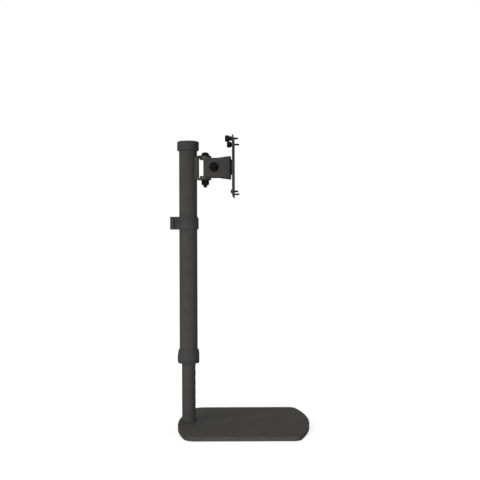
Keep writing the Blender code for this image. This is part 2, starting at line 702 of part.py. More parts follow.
def swivel_fasteners():
    """Bolt down through the head, with a steel washer at each end and a lock nut below."""
    face = CLEVIS_HALF + GAP
    seat = face + SWIVEL_WASHER_THICK + GAP
    length = 2 * seat + SWIVEL_NUT_HEIGHT + SWIVEL_TAIL
    pieces = []
    for name, low in (("swivel_washer_top", face), ("swivel_washer_bottom", -face - SWIVEL_WASHER_THICK)):
        washer = tube(name, SWIVEL_SHANK + GAP, SWIVEL_WASHER, low, low + SWIVEL_WASHER_THICK, SMALL_FACETS)
        pieces.append(aim(washer, (0, 0, 1), (SWIVEL_AXIS, 0, HEAD_HEIGHT)))
    bolt = button_bolt("swivel_bolt", SWIVEL_SHANK, SWIVEL_HEAD, SWIVEL_HEAD_HEIGHT, length,
                       SWIVEL_SHANK * 1.2)
    nut = lock_nut("swivel_nut", SWIVEL_SHANK + GAP, SWIVEL_NUT_FLATS, SWIVEL_NUT_HEIGHT)
    pieces.append(aim(bolt, (0, 0, 1), (SWIVEL_AXIS, 0, HEAD_HEIGHT + seat)))
    pieces.append(aim(nut, (0, 0, -1), (SWIVEL_AXIS, 0, HEAD_HEIGHT - seat)))
    return pieces


def swivel_knuckle():
    """Folded box: lugs for the swivel bolt at the rear, cheeks for the tilt bolt at the front."""
    half_width = KNUCKLE_WIDTH / 2
    rear = SWIVEL_AXIS - LUG_RADIUS
    low, high = HEAD_HEIGHT - KNUCKLE_HALF, HEAD_HEIGHT + KNUCKLE_HALF
    nose = TILT_AXIS + KNUCKLE_NOSE
    piece = prism("swivel_knuckle", box_outline((-half_width, low), (half_width, high), KNUCKLE_BEND),
                  rear - MM, nose + MM, "X")
    hollow = box_outline((-half_width + STEEL, low + STEEL), (half_width - STEEL, high - STEEL),
                         KNUCKLE_BEND - STEEL)
    cut(piece, prism("cutter", hollow, rear - 2 * MM, nose + 2 * MM, "X"))
    step = KNUCKLE_FRONT - TILT_AXIS
    swing = math.degrees(math.acos(step / KNUCKLE_NOSE))
    cheek = arc((TILT_AXIS, HEAD_HEIGHT), KNUCKLE_NOSE, -swing, swing, 10)
    back = rounded([(KNUCKLE_REAR, high - STEEL, LUG_FILLET), (KNUCKLE_REAR, low + STEEL, LUG_FILLET),
                    (rear - 2 * MM, low + STEEL, 0), (rear - 2 * MM, high - STEEL, 0)])
    side = [(rear - MM / 2, low - MM), (KNUCKLE_FRONT, low - MM)] + cheek
    side += [(KNUCKLE_FRONT, high + MM), (rear - MM / 2, high + MM)]
    trim(piece, prism("cutter", side, -half_width - MM, half_width + MM, "Y"))
    cut(piece, prism("cutter", back, -half_width - MM, half_width + MM, "Y"))
    joint = math.degrees(math.acos((SWIVEL_AXIS - KNUCKLE_REAR) / LUG_RADIUS))
    plan = [(nose + MM, -half_width - MM), (nose + MM, half_width + MM), (KNUCKLE_REAR, half_width + MM)]
    plan += arc((SWIVEL_AXIS, 0), LUG_RADIUS, 180 - joint, 180 + joint, 10)
    plan += [(KNUCKLE_REAR, -half_width - MM)]
    trim(piece, prism("cutter", plan, low - MM, high + MM))
    return cut(piece,
               rod(SWIVEL_SHANK + GAP, low - MM, high + MM, centre=(SWIVEL_AXIS, 0)),
               rod(TILT_SHANK + GAP, -half_width - MM, half_width + MM, "Y", (TILT_AXIS, HEAD_HEIGHT)))


def tilt_spacer():
    """Tube between the knuckle's cheeks, so that the bolt can clamp them."""
    half = KNUCKLE_WIDTH / 2 - STEEL - GAP
    piece = tube("tilt_spacer", TILT_SHANK + GAP, SPACER_RADIUS, -half, half, SMALL_FACETS)
    return aim(piece, (0, 1, 0), (TILT_AXIS, 0, HEAD_HEIGHT))


def tilt_nylon_washers():
    face = KNUCKLE_WIDTH / 2 + GAP
    pieces = []
    for name, side in (("tilt_nylon_near", -1), ("tilt_nylon_far", 1)):
        piece = tube(name, TILT_SHANK + GAP, TILT_NYLON_RADIUS, face, face + TILT_NYLON_THICK, SMALL_FACETS)
        pieces.append(aim(piece, (0, side, 0), (TILT_AXIS, 0, HEAD_HEIGHT)))
    return pieces


def tilt_yoke():
    """Folded yoke: an ear on each side of the knuckle, and a web across the front."""
    rear = TILT_AXIS - YOKE_NOSE - MM
    web = YOKE_FRONT - YOKE_STEEL
    inner = YOKE_BEND - YOKE_STEEL
    plan = rounded([(rear, -EAR_OUTER, 0), (YOKE_FRONT, -EAR_OUTER, YOKE_BEND),
                    (YOKE_FRONT, EAR_OUTER, YOKE_BEND), (rear, EAR_OUTER, 0),
                    (rear, EAR_INNER, 0), (web, EAR_INNER, inner),
                    (web, -EAR_INNER, inner), (rear, -EAR_INNER, 0)])
    low, high = HEAD_HEIGHT - YOKE_HALF, HEAD_HEIGHT + YOKE_HALF
    piece = prism("tilt_yoke", plan, low - MM, high + MM)
    run = Vector((YOKE_FRONT - TILT_AXIS, YOKE_HALF))
    lean = math.atan2(run.y, run.x) + math.acos(YOKE_NOSE / run.length)
    nose = arc((TILT_AXIS, HEAD_HEIGHT), YOKE_NOSE, math.degrees(lean), 360 - math.degrees(lean), 16)
    front = rounded([nose[-1] + (0,), (YOKE_FRONT, low, YOKE_CORNER), (YOKE_FRONT, high, YOKE_CORNER),
                     nose[0] + (0,)])
    trim(piece, prism("cutter", front[1:-1] + nose, -EAR_OUTER - MM, EAR_OUTER + MM, "Y"))
    return cut(piece,
               rod(TILT_SHANK + GAP, -EAR_OUTER - MM, EAR_OUTER + MM, "Y", (TILT_AXIS, HEAD_HEIGHT)),
               rod(PIVOT_SHANK + GAP, TILT_AXIS, YOKE_FRONT + MM, "X", (0, PLATE_AXIS_HEIGHT)))


def tilt_fasteners():
    """Bolt from the far side, with a large washer under its head and under the nut on the near side."""
    face = EAR_OUTER + GAP
    seat = face + TILT_WASHER_THICK + GAP
    at = (TILT_AXIS, 0, HEAD_HEIGHT)
    pieces = []
    for name, side in (("tilt_washer_near", -1), ("tilt_washer_far", 1)):
        washer = tube(name, TILT_SHANK + GAP, TILT_WASHER, face, face + TILT_WASHER_THICK, SMALL_FACETS)
        pieces.append(aim(washer, (0, side, 0), at))
    length = 2 * seat + TILT_NUT_HEIGHT + TILT_TAIL
    bolt = button_bolt("tilt_bolt", TILT_SHANK, TILT_HEAD, TILT_HEAD_HEIGHT, length, TILT_SHANK * 1.3)
    nut = lock_nut("tilt_nut", TILT_SHANK + GAP, TILT_NUT_FLATS, TILT_NUT_HEIGHT)
    pieces.append(aim(bolt, (0, 1, 0), (TILT_AXIS, seat, HEAD_HEIGHT)))
    pieces.append(aim(nut, (0, -1, 0), (TILT_AXIS, -seat, HEAD_HEIGHT)))
    return pieces


# Pieces of the mounting plate

def turning_disc():
    piece = tube("turning_disc", PIVOT_SHANK + GAP, DISC_RADIUS, 0, DISC_THICK, FACETS, edge=0.4 * MM)
    return aim(piece, (1, 0, 0), (DISC_BACK, 0, PLATE_AXIS_HEIGHT))


def pivot_fasteners():
    """Flush bolt through the plate, the disc and the yoke's web, with a washer and nut behind the web."""
    face = YOKE_FRONT - YOKE_STEEL - GAP
    seat = face - PIVOT_WASHER_THICK - GAP
    length = MOUNT_FRONT - seat + PIVOT_NUT_HEIGHT + PIVOT_TAIL
    washer = tube("pivot_washer", PIVOT_SHANK + GAP, PIVOT_WASHER, 0, PIVOT_WASHER_THICK, SMALL_FACETS)
    nut = lock_nut("pivot_nut", PIVOT_SHANK + GAP, PIVOT_NUT_FLATS, PIVOT_NUT_HEIGHT)
    bolt = flush_screw("pivot_bolt", PIVOT_SHANK, PIVOT_HEAD, length, PIVOT_SHANK * 1.2)
    return [aim(washer, (-1, 0, 0), (face, 0, PLATE_AXIS_HEIGHT)),
            aim(nut, (-1, 0, 0), (seat, 0, PLATE_AXIS_HEIGHT)),
            aim(bolt, (-1, 0, 0), (MOUNT_FRONT, 0, PLATE_AXIS_HEIGHT))]


def hole_square(pattern):
    """Y and Z of the four holes of a square pattern, the upper pair first."""
    half = pattern / 2
    return [(side * half, PLATE_AXIS_HEIGHT + level * half) for level in (1, -1) for side in (-1, 1)]


def mounting_plate():
    """Square plate with both hole patterns, and a countersunk hole for the pivot bolt."""
    half = MOUNT_SIZE / 2
    outline = box_outline((-half, PLATE_AXIS_HEIGHT - half), (half, PLATE_AXIS_HEIGHT + half), MOUNT_CORNER)
    piece = prism("mounting_plate", outline, MOUNT_BACK, MOUNT_FRONT, "X")
    for place in hole_square(WIDE_PATTERN) + hole_square(NARROW_PATTERN):
        cut(piece, rod(SCREW_HOLE, MOUNT_BACK - MM, MOUNT_FRONT + MM, "X", place, HOLE_FACETS))
    hole = countersink(PIVOT_SHANK, PIVOT_HEAD, MOUNT_THICK * 2)
    return cut(piece, aim(hole, (-1, 0, 0), (MOUNT_FRONT, 0, PLATE_AXIS_HEIGHT)))


def thumb_screws():
    """Knurled screws in the upper pair of holes: head, neck and thread, from the rear to the front."""
    facets = THUMB_FLUTES * 2
    bevel = 0.7 * MM
    thread = MOUNT_THICK + GAP + THREAD_REACH

    def ring(radius, level, flute=0.0):
        turns = [math.tau * i / facets for i in range(facets)]
        reach = [radius - flute * (i % 2) for i in range(facets)]
        return [(r * math.cos(a), r * math.sin(a), level) for r, a in zip(reach, turns)]

    foot = THUMB_NECK_HEIGHT
    top = foot + THUMB_HEIGHT
    rings = [ring(THREAD_RADIUS * 0.8, -thread), ring(THREAD_RADIUS, -thread + bevel), ring(THREAD_RADIUS, 0),
             ring(THUMB_NECK, 0), ring(THUMB_NECK, foot), ring(THUMB_RADIUS - bevel, foot),
             ring(THUMB_RADIUS, foot + bevel, THUMB_FLUTE), ring(THUMB_RADIUS, top - bevel, THUMB_FLUTE),
             ring(THUMB_RADIUS - bevel, top)]
    pieces = []
    for name, (y, z) in zip(("thumb_screw_near", "thumb_screw_far"), hole_square(WIDE_PATTERN)[:2]):
        pieces.append(aim(loft(name, rings), (-1, 0, 0), (MOUNT_BACK - GAP, y, z)))
    return pieces


def lower_screws():
    """Pan-head screws in the lower pair of holes."""
    pieces = []
    length = MOUNT_THICK + GAP + THREAD_REACH
    for name, (y, z) in zip(("lower_screw_near", "lower_screw_far"), hole_square(WIDE_PATTERN)[2:]):
        screw = button_bolt(name, THREAD_RADIUS, LOWER_HEAD, LOWER_HEAD_HEIGHT, length, THREAD_RADIUS * 1.3)
        pieces.append(aim(screw, (-1, 0, 0), (MOUNT_BACK - GAP, y, z)))
    return pieces


# Assembly

def body(name, at, carrier=None):
    """Empty on a body's joint axis. Bodies hang on each other as they move each other."""
    empty = bpy.data.objects.new(name, None)
    empty.empty_display_size = 0.02
    bpy.context.scene.collection.objects.link(empty)
    empty.parent = carrier
    empty.location = Vector(at) - (world_place(carrier) if carrier else Vector())
    return empty


def world_place(empty):
    """Sum of the locations up the chain, as no empty is turned."""
    return empty.location + world_place(empty.parent) if empty.parent else empty.location.copy()


def finish(piece, look, carrier):
    """Gives a piece its material and shading, and hands it to its body."""
    colour, roughness, metallic = FINISHES[look]
    material = bpy.data.materials.new(piece.name)
    material.use_nodes = True
    shader = material.node_tree.nodes["Principled BSDF"]
    shader.inputs["Base Color"].default_value = colour + (1.0,)
    shader.inputs["Roughness"].default_value = roughness
    shader.inputs["Metallic"].default_value = metallic
    material.diffuse_color = colour + (1.0,)
    piece.data.materials.clear()
    piece.data.materials.append(material)
    piece.data.shade_smooth()
    piece.data.set_sharp_from_angle(angle=math.radians(35))
    place = world_place(carrier)
    for vertex in piece.data.vertices:
        vertex.co -= place
    piece.parent = carrier


def build():
    for old in list(bpy.data.objects):
        bpy.data.objects.remove(old)

    plate_axis = (MOUNT_BACK, 0, PLATE_AXIS_HEIGHT)
    base = body("base_body", (0, 0, 0))
    column = body("column_body", (0, 0, LOCK_HEIGHT), base)
    lock = body("lock_body", (0, 0, LOCK_HEIGHT), column)
    clip = body("clip_body", (0, 0, CLIP_BOTTOM), column)
    swivel = body("swivel_body", (SWIVEL_AXIS, 0, HEAD_HEIGHT), column)
    tilt = body("tilt_body", (TILT_AXIS, 0, HEAD_HEIGHT), swivel)
    turn = body("turn_body", plate_axis, tilt)
    thumbs = [body(name, (MOUNT_BACK, y, z), turn)
              for name, (y, z) in zip(("thumb_near_body", "thumb_far_body"), hole_square(WIDE_PATTERN)[:2])]

    finish(base_plate(), "powder_coat", base)
    for pad in pads():
        finish(pad, "rubber", base)
    finish(foot_plug(), "bright_steel", base)
    for screw in foot_screws():
        finish(screw, "black_steel", base)
    finish(inner_tube(), "powder_coat", base)
    finish(guide_bush(), "nylon", base)

    finish(outer_tube(), "powder_coat", column)
    finish(top_cap(), "moulding", column)
    finish(collar(), "moulding", column)
    finish(collar_ring(), "moulding", column)
    for screw in collar_screws() + [grub_screw()]:
        finish(screw, "black_steel", column)
    finish(lock_slide(), "moulding", lock)
    finish(lock_spring(), "bright_steel", column)
    finish(cable_clip(), "moulding", clip)

    finish(clevis_bracket(), "powder_coat", column)
    for fastener in swivel_fasteners():
        finish(fastener, "black_steel", column)
    for washer in nylon_washers() + tilt_nylon_washers():
        finish(washer, "nylon", swivel)
    finish(swivel_knuckle(), "powder_coat", swivel)
    finish(tilt_spacer(), "bright_steel", swivel)
    finish(tilt_yoke(), "powder_coat", tilt)
    for fastener in tilt_fasteners() + pivot_fasteners():
        finish(fastener, "black_steel", tilt)
    finish(turning_disc(), "moulding", tilt)
    finish(mounting_plate(), "powder_coat", turn)
    for screw in lower_screws():
        finish(screw, "black_steel", turn)
    for screw, carrier in zip(thumb_screws(), thumbs):
        finish(screw, "black_steel", carrier)


build()
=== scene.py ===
"""Monitor stand, dressed for its picture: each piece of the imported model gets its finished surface.

Shapes are worked out in millimetres and become metres in the meshes. The pole's axis is
X = Y = 0, the floor is Z = 0, and the mounting plate faces +X.
"""
import json
import math

import bmesh
import bpy
import numpy as np
from mathutils import Euler, Matrix, Vector
from mathutils.geometry import delaunay_2d_cdt

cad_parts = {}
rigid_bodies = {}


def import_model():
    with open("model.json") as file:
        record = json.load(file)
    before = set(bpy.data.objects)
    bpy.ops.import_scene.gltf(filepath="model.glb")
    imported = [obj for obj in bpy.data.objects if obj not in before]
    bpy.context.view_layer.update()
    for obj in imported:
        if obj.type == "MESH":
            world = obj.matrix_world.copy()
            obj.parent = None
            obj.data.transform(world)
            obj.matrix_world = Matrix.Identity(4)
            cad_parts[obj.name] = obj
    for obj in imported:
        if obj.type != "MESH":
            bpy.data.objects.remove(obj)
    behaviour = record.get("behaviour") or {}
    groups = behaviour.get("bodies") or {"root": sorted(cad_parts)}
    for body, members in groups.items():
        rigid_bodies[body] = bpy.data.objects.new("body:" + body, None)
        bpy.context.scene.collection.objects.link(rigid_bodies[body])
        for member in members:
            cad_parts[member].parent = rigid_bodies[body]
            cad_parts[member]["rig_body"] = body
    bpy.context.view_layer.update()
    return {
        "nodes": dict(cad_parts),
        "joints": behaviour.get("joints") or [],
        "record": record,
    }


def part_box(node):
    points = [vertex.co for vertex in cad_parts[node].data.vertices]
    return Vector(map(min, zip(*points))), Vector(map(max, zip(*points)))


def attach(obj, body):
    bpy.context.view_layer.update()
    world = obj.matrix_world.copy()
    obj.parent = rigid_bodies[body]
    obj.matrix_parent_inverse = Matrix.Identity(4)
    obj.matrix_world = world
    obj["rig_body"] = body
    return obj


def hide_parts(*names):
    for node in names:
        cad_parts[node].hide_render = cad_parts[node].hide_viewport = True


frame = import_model()

MM = 0.001
TURN = 2 * math.pi
JOINTS = {joint["name"]: np.array(joint.get("pos_m", (0, 0, 0))) / MM for joint in frame["joints"]}
SWIVEL = JOINTS["head_swivel"]
TILT = JOINTS["head_tilt"]
PIVOT = JOINTS["plate_turn"]

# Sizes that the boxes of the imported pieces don't give
PLATE_ENDS = ((234.0, 372.0, 16.0), (20.1, 358.0, 22.0))  # front, rear: reach, bow and corner radius
PLATE_ROUND = 0.9
FOOT_SCREW_CIRCLE = 6.5
TUBE_WALL = 1.5
HOLE_RADIUS = 3.75
HOLE_COUNT = 13
HOLE_PITCH = 18.5
LOWEST_HOLE = 38.0
SEAT_GAP = 0.3
GUIDE_GAP = 0.35          # between the inner tube and the collar round it
STEEL = 3.0               # sheet of the clevis and the knuckle
YOKE_STEEL = 2.5
SHEARED = 0.45            # rounding of a sheet's cut edges under the coating
M8, M6, M4 = (3.9, 1.25, 4.68), (2.9, 1.0, 3.77), (1.95, 0.7, 2.54)  # shank radius, pitch, key's width
M8_HOLE = M8[0] + SEAT_GAP
M6_HOLE = M6[0] + SEAT_GAP
SWIVEL_GRIP = 25.6        # from the head's height up to the swivel bolt's head, and down to its nut
TILT_GRIP = 22.8          # from the middle out to the tilt bolt's head and nut
PIVOT_NUT_SEAT = 78.8     # X of the nut's face on the spring washer
HOLE_SQUARES = (50.0, 37.5)  # half the sides of the mounting plate's squares of holes


# Curves and surfaces

def span(node):
    """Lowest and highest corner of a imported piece, in millimetres."""
    low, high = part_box(node)
    return np.array(low) / MM, np.array(high) / MM


def halved(node, way=2):
    """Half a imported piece's size along X, Y or Z (0, 1 or 2), and its middle there."""
    low, high = span(node)
    return (high[way] - low[way]) / 2, (high[way] + low[way]) / 2


def arc(centre, radius, start, end, steps):
    """Points (u, v) on an arc, from one angle in degrees to another."""
    angle = np.radians(np.linspace(start, end, steps + 1))
    return np.array(centre) + radius * np.stack([np.cos(angle), np.sin(angle)], -1)


def ring(centre, radius, steps):
    """Points (u, v) round a full circle."""
    return arc(centre, radius, 0, 360, steps)[:-1]


def softened(corners, closed=True, steps=5):
    """Line through corners (u, v, radius), each turned into an arc of its own radius."""
    line = []
    places = np.array([corner[:2] for corner in corners], float)
    for i, radius in enumerate(corner[2] for corner in corners):
        if radius == 0 or (not closed and i in (0, len(corners) - 1)):
            line.append(places[i:i + 1])
            continue
        back = places[i - 1] - places[i]
        ahead = places[(i + 1) % len(corners)] - places[i]
        back /= np.linalg.norm(back)
        ahead /= np.linalg.norm(ahead)
        half = math.acos(np.clip(back @ ahead, -1, 1)) / 2
        toward = (back + ahead) / np.linalg.norm(back + ahead)
        centre = places[i] + toward * radius / math.sin(half)
        start = places[i] + back * radius / math.tan(half) - centre
        end = places[i] + ahead * radius / math.tan(half) - centre
        first = math.degrees(math.atan2(start[1], start[0]))
        sweep = (math.degrees(math.atan2(end[1], end[0])) - first + 180) % 360 - 180
        line.append(arc(centre, radius, first, first + sweep, steps))
    return np.concatenate(line)


def grid(rows, columns, closed=False):
    """Quads between neighbours of a grid of points whose columns, and if closed also its rows, run
    round to the first."""
    i = np.arange(rows if closed else rows - 1)[:, None]
    j = np.arange(columns)[None, :]
    below, above = i * columns, (i + 1) % rows * columns
    beside = (j + 1) % columns
    return np.stack([below + j, below + beside, above + beside, above + j], -1).reshape(-1, 4)


def turned(rows, columns=72, bored=False):
    """Profile turned about Z: row (r, h) gives the points (r cos a, r sin a, h) at even angles a.
    r and h may each be one number or one for every angle. A bored profile closes on itself."""
    angle = np.arange(columns) * TURN / columns
    radius = np.array([np.broadcast_to(row[0], columns) for row in rows])
    level = np.array([np.broadcast_to(row[1], columns) for row in rows])
    points = np.stack([radius * np.cos(angle), radius * np.sin(angle), level], -1)
    return points.reshape(-1, 3), [grid(len(rows), columns, bored)]


def hexagon(half_flats, columns=72):
    """Radius of a hexagon at even angles, from half its width across flats."""
    angle = np.arange(columns) * TURN / columns
    return half_flats / np.cos((angle + math.pi / 6) % (math.pi / 3) - math.pi / 6)


def thread(radius, pitch, low, high, columns=72):
    """Rows of a screw thread that runs from low to high and fades out at both ends.
    The radius falls by a triangle wave of h / pitch - a / 360 degrees, cut flat at its crests."""
    depth, steps, slope, crest = 0.54 * pitch, 8, 1.25, 0.12
    angle = np.arange(columns) / columns
    rows = []
    for level in np.linspace(low, high, int(abs(high - low) / pitch * steps) + 1):
        wave = np.abs((level / pitch - angle) % 1.0 * 2 - 1)
        fade = min(1.0, abs(level - low) / pitch, abs(level - high) / pitch)
        rows.append((radius - depth * fade * np.clip(wave * slope - crest, 0, 1), level))
    return rows


def aimed(surface, axis, at):
    """Turns a surface's +Z to a direction and moves its zero to a point."""
    points, faces = surface
    turn = np.array(Vector((0, 0, 1)).rotation_difference(Vector(axis)).to_matrix())
    return points @ turn.T + np.array(at, float), faces


def together(*surfaces):
    """Several surfaces as one."""
    points, faces, count = [], [], 0
    for own_points, own_faces in surfaces:
        points.append(own_points)
        faces += [block + count for block in own_faces]
        count += len(own_points)
    return np.concatenate(points), faces


# Sheets, flat or folded

def within(points, loops):
    """Which points (u, v) lie inside the loops, by the even-odd rule."""
    inside = np.zeros(len(points), bool)
    u, v = points[:, :1], points[:, 1:]
    for loop in loops:
        a, b = loop, np.roll(loop, -1, 0)
        crossed = (a[:, 1] > v) != (b[:, 1] > v)
        rise = np.where(a[:, 1] == b[:, 1], 1.0, b[:, 1] - a[:, 1])
        edge = a[:, 0] + (v - a[:, 1]) * (b[:, 0] - a[:, 0]) / rise
        inside ^= (crossed & (u < edge)).sum(1) % 2 == 1
    return inside


def inward(loop, seam):
    """Way that each point of a loop moves for an inset of 1, with the sheet on the loop's left.
    Where a sheet closes on itself, the points on its seam stay on it."""
    ahead = np.roll(loop, -1, 0) - loop
    ahead /= np.linalg.norm(ahead, axis=1, keepdims=True)
    back = np.roll(ahead, 1, 0)
    both = ahead + back
    way = np.stack([-both[:, 1], both[:, 0]], -1) / (1 + (ahead * back).sum(1, keepdims=True))
    if seam:
        way[on_seam(loop, seam) > 0, 0] = 0
    return way


def on_seam(loop, seam):
    """1 for points on the sheet's first edge, 2 on the last, 0 elsewhere."""
    return (np.abs(loop[:, 0] - seam[0]) < 1e-6) + 2 * (np.abs(loop[:, 0] - seam[1]) < 1e-6)


def rounded_edge(half, upper, lower=None, steps=3):
    """Steps (inset, w) down a sheet's edge: a quarter round at each face, a straight wall between."""
    lower = upper if lower is None else lower
    angle = np.linspace(0, math.pi / 2, steps + 1)
    down = [(upper * (1 - math.sin(a)), half - upper * (1 - math.cos(a))) for a in angle]
    return down + [(lower * (1 - math.sin(a)), lower * (1 - math.cos(a)) - half) for a in angle[::-1]]


def sunk_edge(half, extra, upper=0.2):
    """Steps down a countersunk hole that is wider by extra at the lower face."""
    return [(upper, half), (0, half - upper), (0, extra - half), (extra, -half)]


def sheet(loops, edges, bend, fill, seam=None):
    """Closed skin of a sheet. loops are outlines (s, t) with the sheet on their left, and edges the
    steps (inset, w) that go down each. Both faces are triangulated over the loops' last insets and
    the fill points, and every point (s, t, w) goes through bend."""
    clear = 0.3
    flat, faces, count = [], [], 0
    rims = {0: [], -1: []}
    for loop, steps in zip(loops, edges):
        way = inward(loop, seam)
        wall = np.array([np.column_stack([loop + way * np.reshape(inset, (-1, 1)),
                                          np.full(len(loop), w)]) for inset, w in steps])
        quads = grid(len(steps), len(loop))
        if seam:
            side = on_seam(loop, seam)[quads % len(loop)]
            quads = quads[~((side > 0) & (side == side[:, :1])).all(1)]
        faces.append(quads + count)
        for end, rim in rims.items():
            first = count + (len(steps) - 1) * len(loop) * (end == -1)
            rim.append((wall[end], first + np.arange(len(loop))))
        flat.append(wall.reshape(-1, 3))
        count += wall.shape[0] * wall.shape[1]
    for end, rim in rims.items():
        outlines = [points[:, :2] for points, own in rim]
        inner = fill[within(fill, outlines)]
        border = np.concatenate(outlines)
        near = np.min(np.linalg.norm(inner[:, None] - border[None], axis=2), axis=1)
        inner = inner[near > clear]
        own = np.concatenate([own for points, own in rim] + [count + np.arange(len(inner))])
        ties, start = [], 0
        for outline in outlines:
            index = start + np.arange(len(outline))
            ties += np.stack([index, np.roll(index, -1)], -1).tolist()
            start += len(outline)
        every = np.concatenate([border, inner])
        found = delaunay_2d_cdt([Vector(p) for p in every.tolist()], ties, [], 1, 1e-5)
        back = np.array([ids[0] for ids in found[3]])
        triangles = back[np.array([list(face) for face in found[2]])]
        triangles = triangles[within(every[triangles].mean(1), outlines)]
        faces.append(own[triangles] if end == 0 else own[triangles[:, ::-1]])
        flat.append(np.column_stack([inner, np.full(len(inner), rim[0][0][0, 2])]))
        count += len(inner)
    flat = np.concatenate(flat)
    return bend(flat[:, 0], flat[:, 1], flat[:, 2]), faces


NO_FILL = np.zeros((0, 2))


def lying(level):
    """Bend of a sheet that lies flat with its middle at a level."""
    return lambda s, t, w: np.stack([s, t, w + level], -1)


def lattice(us, vs):
    """Every pair of the two rows of numbers."""
    u, v = np.meshgrid(us, vs)
    return np.stack([u.ravel(), v.ravel()], -1)


def on_leg(angle, rate, ahead):
    """Ways from a leg's start to the runs ahead: along a straight, or an arc that turns at a rate."""
    if rate == 0:
        return ahead[:, None] * np.array([math.cos(angle), math.sin(angle)])
    now = angle + rate * ahead
    return np.stack([np.sin(now) - math.sin(angle), math.cos(angle) - np.cos(now)], -1) / rate


def folded(start, heading, legs):
    """Folded sheet whose middle line has legs (length, turn in degrees), straight where the turn
    is 0. Gives a function from the run s and the way w to the line's left to the point (u, v)."""
    def bent(run, aside):
        points = np.zeros((len(run), 2))
        place, angle, begin = np.array(start, float), math.radians(heading), 0.0
        for length, turn in legs:
            part = run >= begin - 1e-9
            ahead, rate = run[part] - begin, math.radians(turn) / length
            now = angle + rate * ahead
            left = np.stack([-np.sin(now), np.cos(now)], -1)
            points[part] = place + on_leg(angle, rate, ahead) + left * aside[part, None]
            place = place + on_leg(angle, rate, np.array([length]))[0]
            angle, begin = angle + rate * length, begin + length
        return points
    return bent


def strip(total, nose, along, half, turn=90, steps=40):
    """Outline (s, t) of a strip with round ends: half its width at the runs along it, and end arcs
    that reach its sides at a turn in degrees from the strip's way."""
    return np.concatenate([arc((nose, 0), nose, turn, 360 - turn, steps),
                           np.stack([along, -half], -1),
                           arc((total - nose, 0), nose, turn - 180, 180 - turn, steps),
                           np.stack([along[::-1], half[::-1]], -1)])


def stations(legs, coarse, fine):
    """Runs along a folded line at which the sheet gets points, closer together in the bends."""
    marks, begin = [np.zeros(1)], 0.0
    for length, turn in legs:
        steps = max(1, round(length / (fine if turn else coarse)))
        marks.append(begin + length * np.arange(1, steps + 1) / steps)
        begin += length
    return np.concatenate(marks)


# Finishes

def added(tree, kind, inputs=(), **settings):
    """New shader node with its settings, and a value or a link for each of the inputs."""
    made = tree.nodes.new("ShaderNode" + kind)
    for name, value in settings.items():
        setattr(made, name, value)
    for name, value in dict(inputs).items():
        if isinstance(value, bpy.types.NodeSocket):
            tree.links.new(value, made.inputs[name])
        else:
            made.inputs[name].default_value = value
    return made


def material(name, colour, roughness, metallic=0.0, specular=0.5):
    """New material with its principled shader's plain values set on it."""
    made = bpy.data.materials.new(name)
    made.use_nodes = True
    made.diffuse_color = (*colour, 1)
    shader = made.node_tree.nodes["Principled BSDF"]
    for socket, value in (("Base Color", (*colour, 1)), ("Roughness", roughness),
                          ("Metallic", metallic), ("Specular IOR Level", specular)):
        shader.inputs[socket].default_value = value
    return made, made.node_tree, shader


def noise(tree, scale, detail=3.0, rough=0.5, stretch=None):
    """Noise over the object's own coordinates; a stretch draws it out along an axis."""
    source = added(tree, "TexCoord").outputs["Object"]
    if stretch:
        source = added(tree, "Mapping", {"Vector": source, "Scale": stretch}).outputs["Vector"]
    return added(tree, "TexNoise", {"Vector": source, "Scale": scale, "Detail": detail,
                                    "Roughness": rough}).outputs["Fac"]


def spread(tree, source, low, high, start=0.3, end=0.7):
    """Sends a noise from its usual range to a range of values."""
    return added(tree, "MapRange", {"Value": source, "From Min": start, "From Max": end,
                                    "To Min": low, "To Max": high}).outputs["Result"]


def tint(tree, shader, source, colour, swing):
    """Base colour that swings with a noise, by a share about its middle."""
    dark, pale = ((*[c * (1 + share) for c in colour], 1) for share in (-swing, swing))
    mix = added(tree, "Mix", {"Factor": spread(tree, source, 0, 1), 6: dark, 7: pale}, data_type="RGBA")
    tree.links.new(mix.outputs[2], shader.inputs["Base Color"])


def gloss(tree, shader, source, low, high):
    """Roughness that a noise sends to and fro between two values."""
    tree.links.new(spread(tree, source, low, high), shader.inputs["Roughness"])


def wear(tree, reach):
    """How far a spot lies on an edge, 0 to 1, where the colour is painted lighter: partly rubbed wear,
    partly a painted edge highlight. It goes by how much a normal that is rounded over the reach in
    millimetres leaves the face's own, broken up by a noise. The match of the two normals is full at 0.995
    and lost at 0.86."""
    rounded = added(tree, "Bevel", {"Radius": reach * MM}, samples=4).outputs["Normal"]
    own = added(tree, "NewGeometry").outputs["Normal"]
    match = added(tree, "VectorMath", {0: rounded, 1: own}, operation="DOT_PRODUCT").outputs["Value"]
    edge = spread(tree, match, 0, 1, 0.995, 0.86)
    patches = spread(tree, noise(tree, 600.0, 4.0, 0.7), 0.35, 1, 0.35, 0.6)
    return added(tree, "Math", {0: edge, 1: patches}, operation="MULTIPLY").outputs["Value"]


def rubbed(tree, shader, mask, colour, roughness):
    """Shows another colour and roughness where the mask marks an edge: partly rubbed wear, partly a painted
    edge highlight.
    """
    for socket, kind, value, (first, second, result) in (("Base Color", "RGBA", (*colour, 1), (6, 7, 2)),
                                                         ("Roughness", "FLOAT", roughness, (2, 3, 0))):
        source = shader.inputs[socket].links[0].from_socket
        mix = added(tree, "Mix", {"Factor": mask, first: source, second: value}, data_type=kind)
        tree.links.new(mix.outputs[result], shader.inputs[socket])


def relief(tree, shader, layers):
    """Chain of bumps; each layer is (height, strength, depth in millimetres)."""
    below = {}
    for height, strength, depth in layers:
        bump = added(tree, "Bump", {"Height": height, "Strength": strength, "Distance": depth * MM, **below})
        below = {"Normal": bump.outputs["Normal"]}
    tree.links.new(below["Normal"], shader.inputs["Normal"])


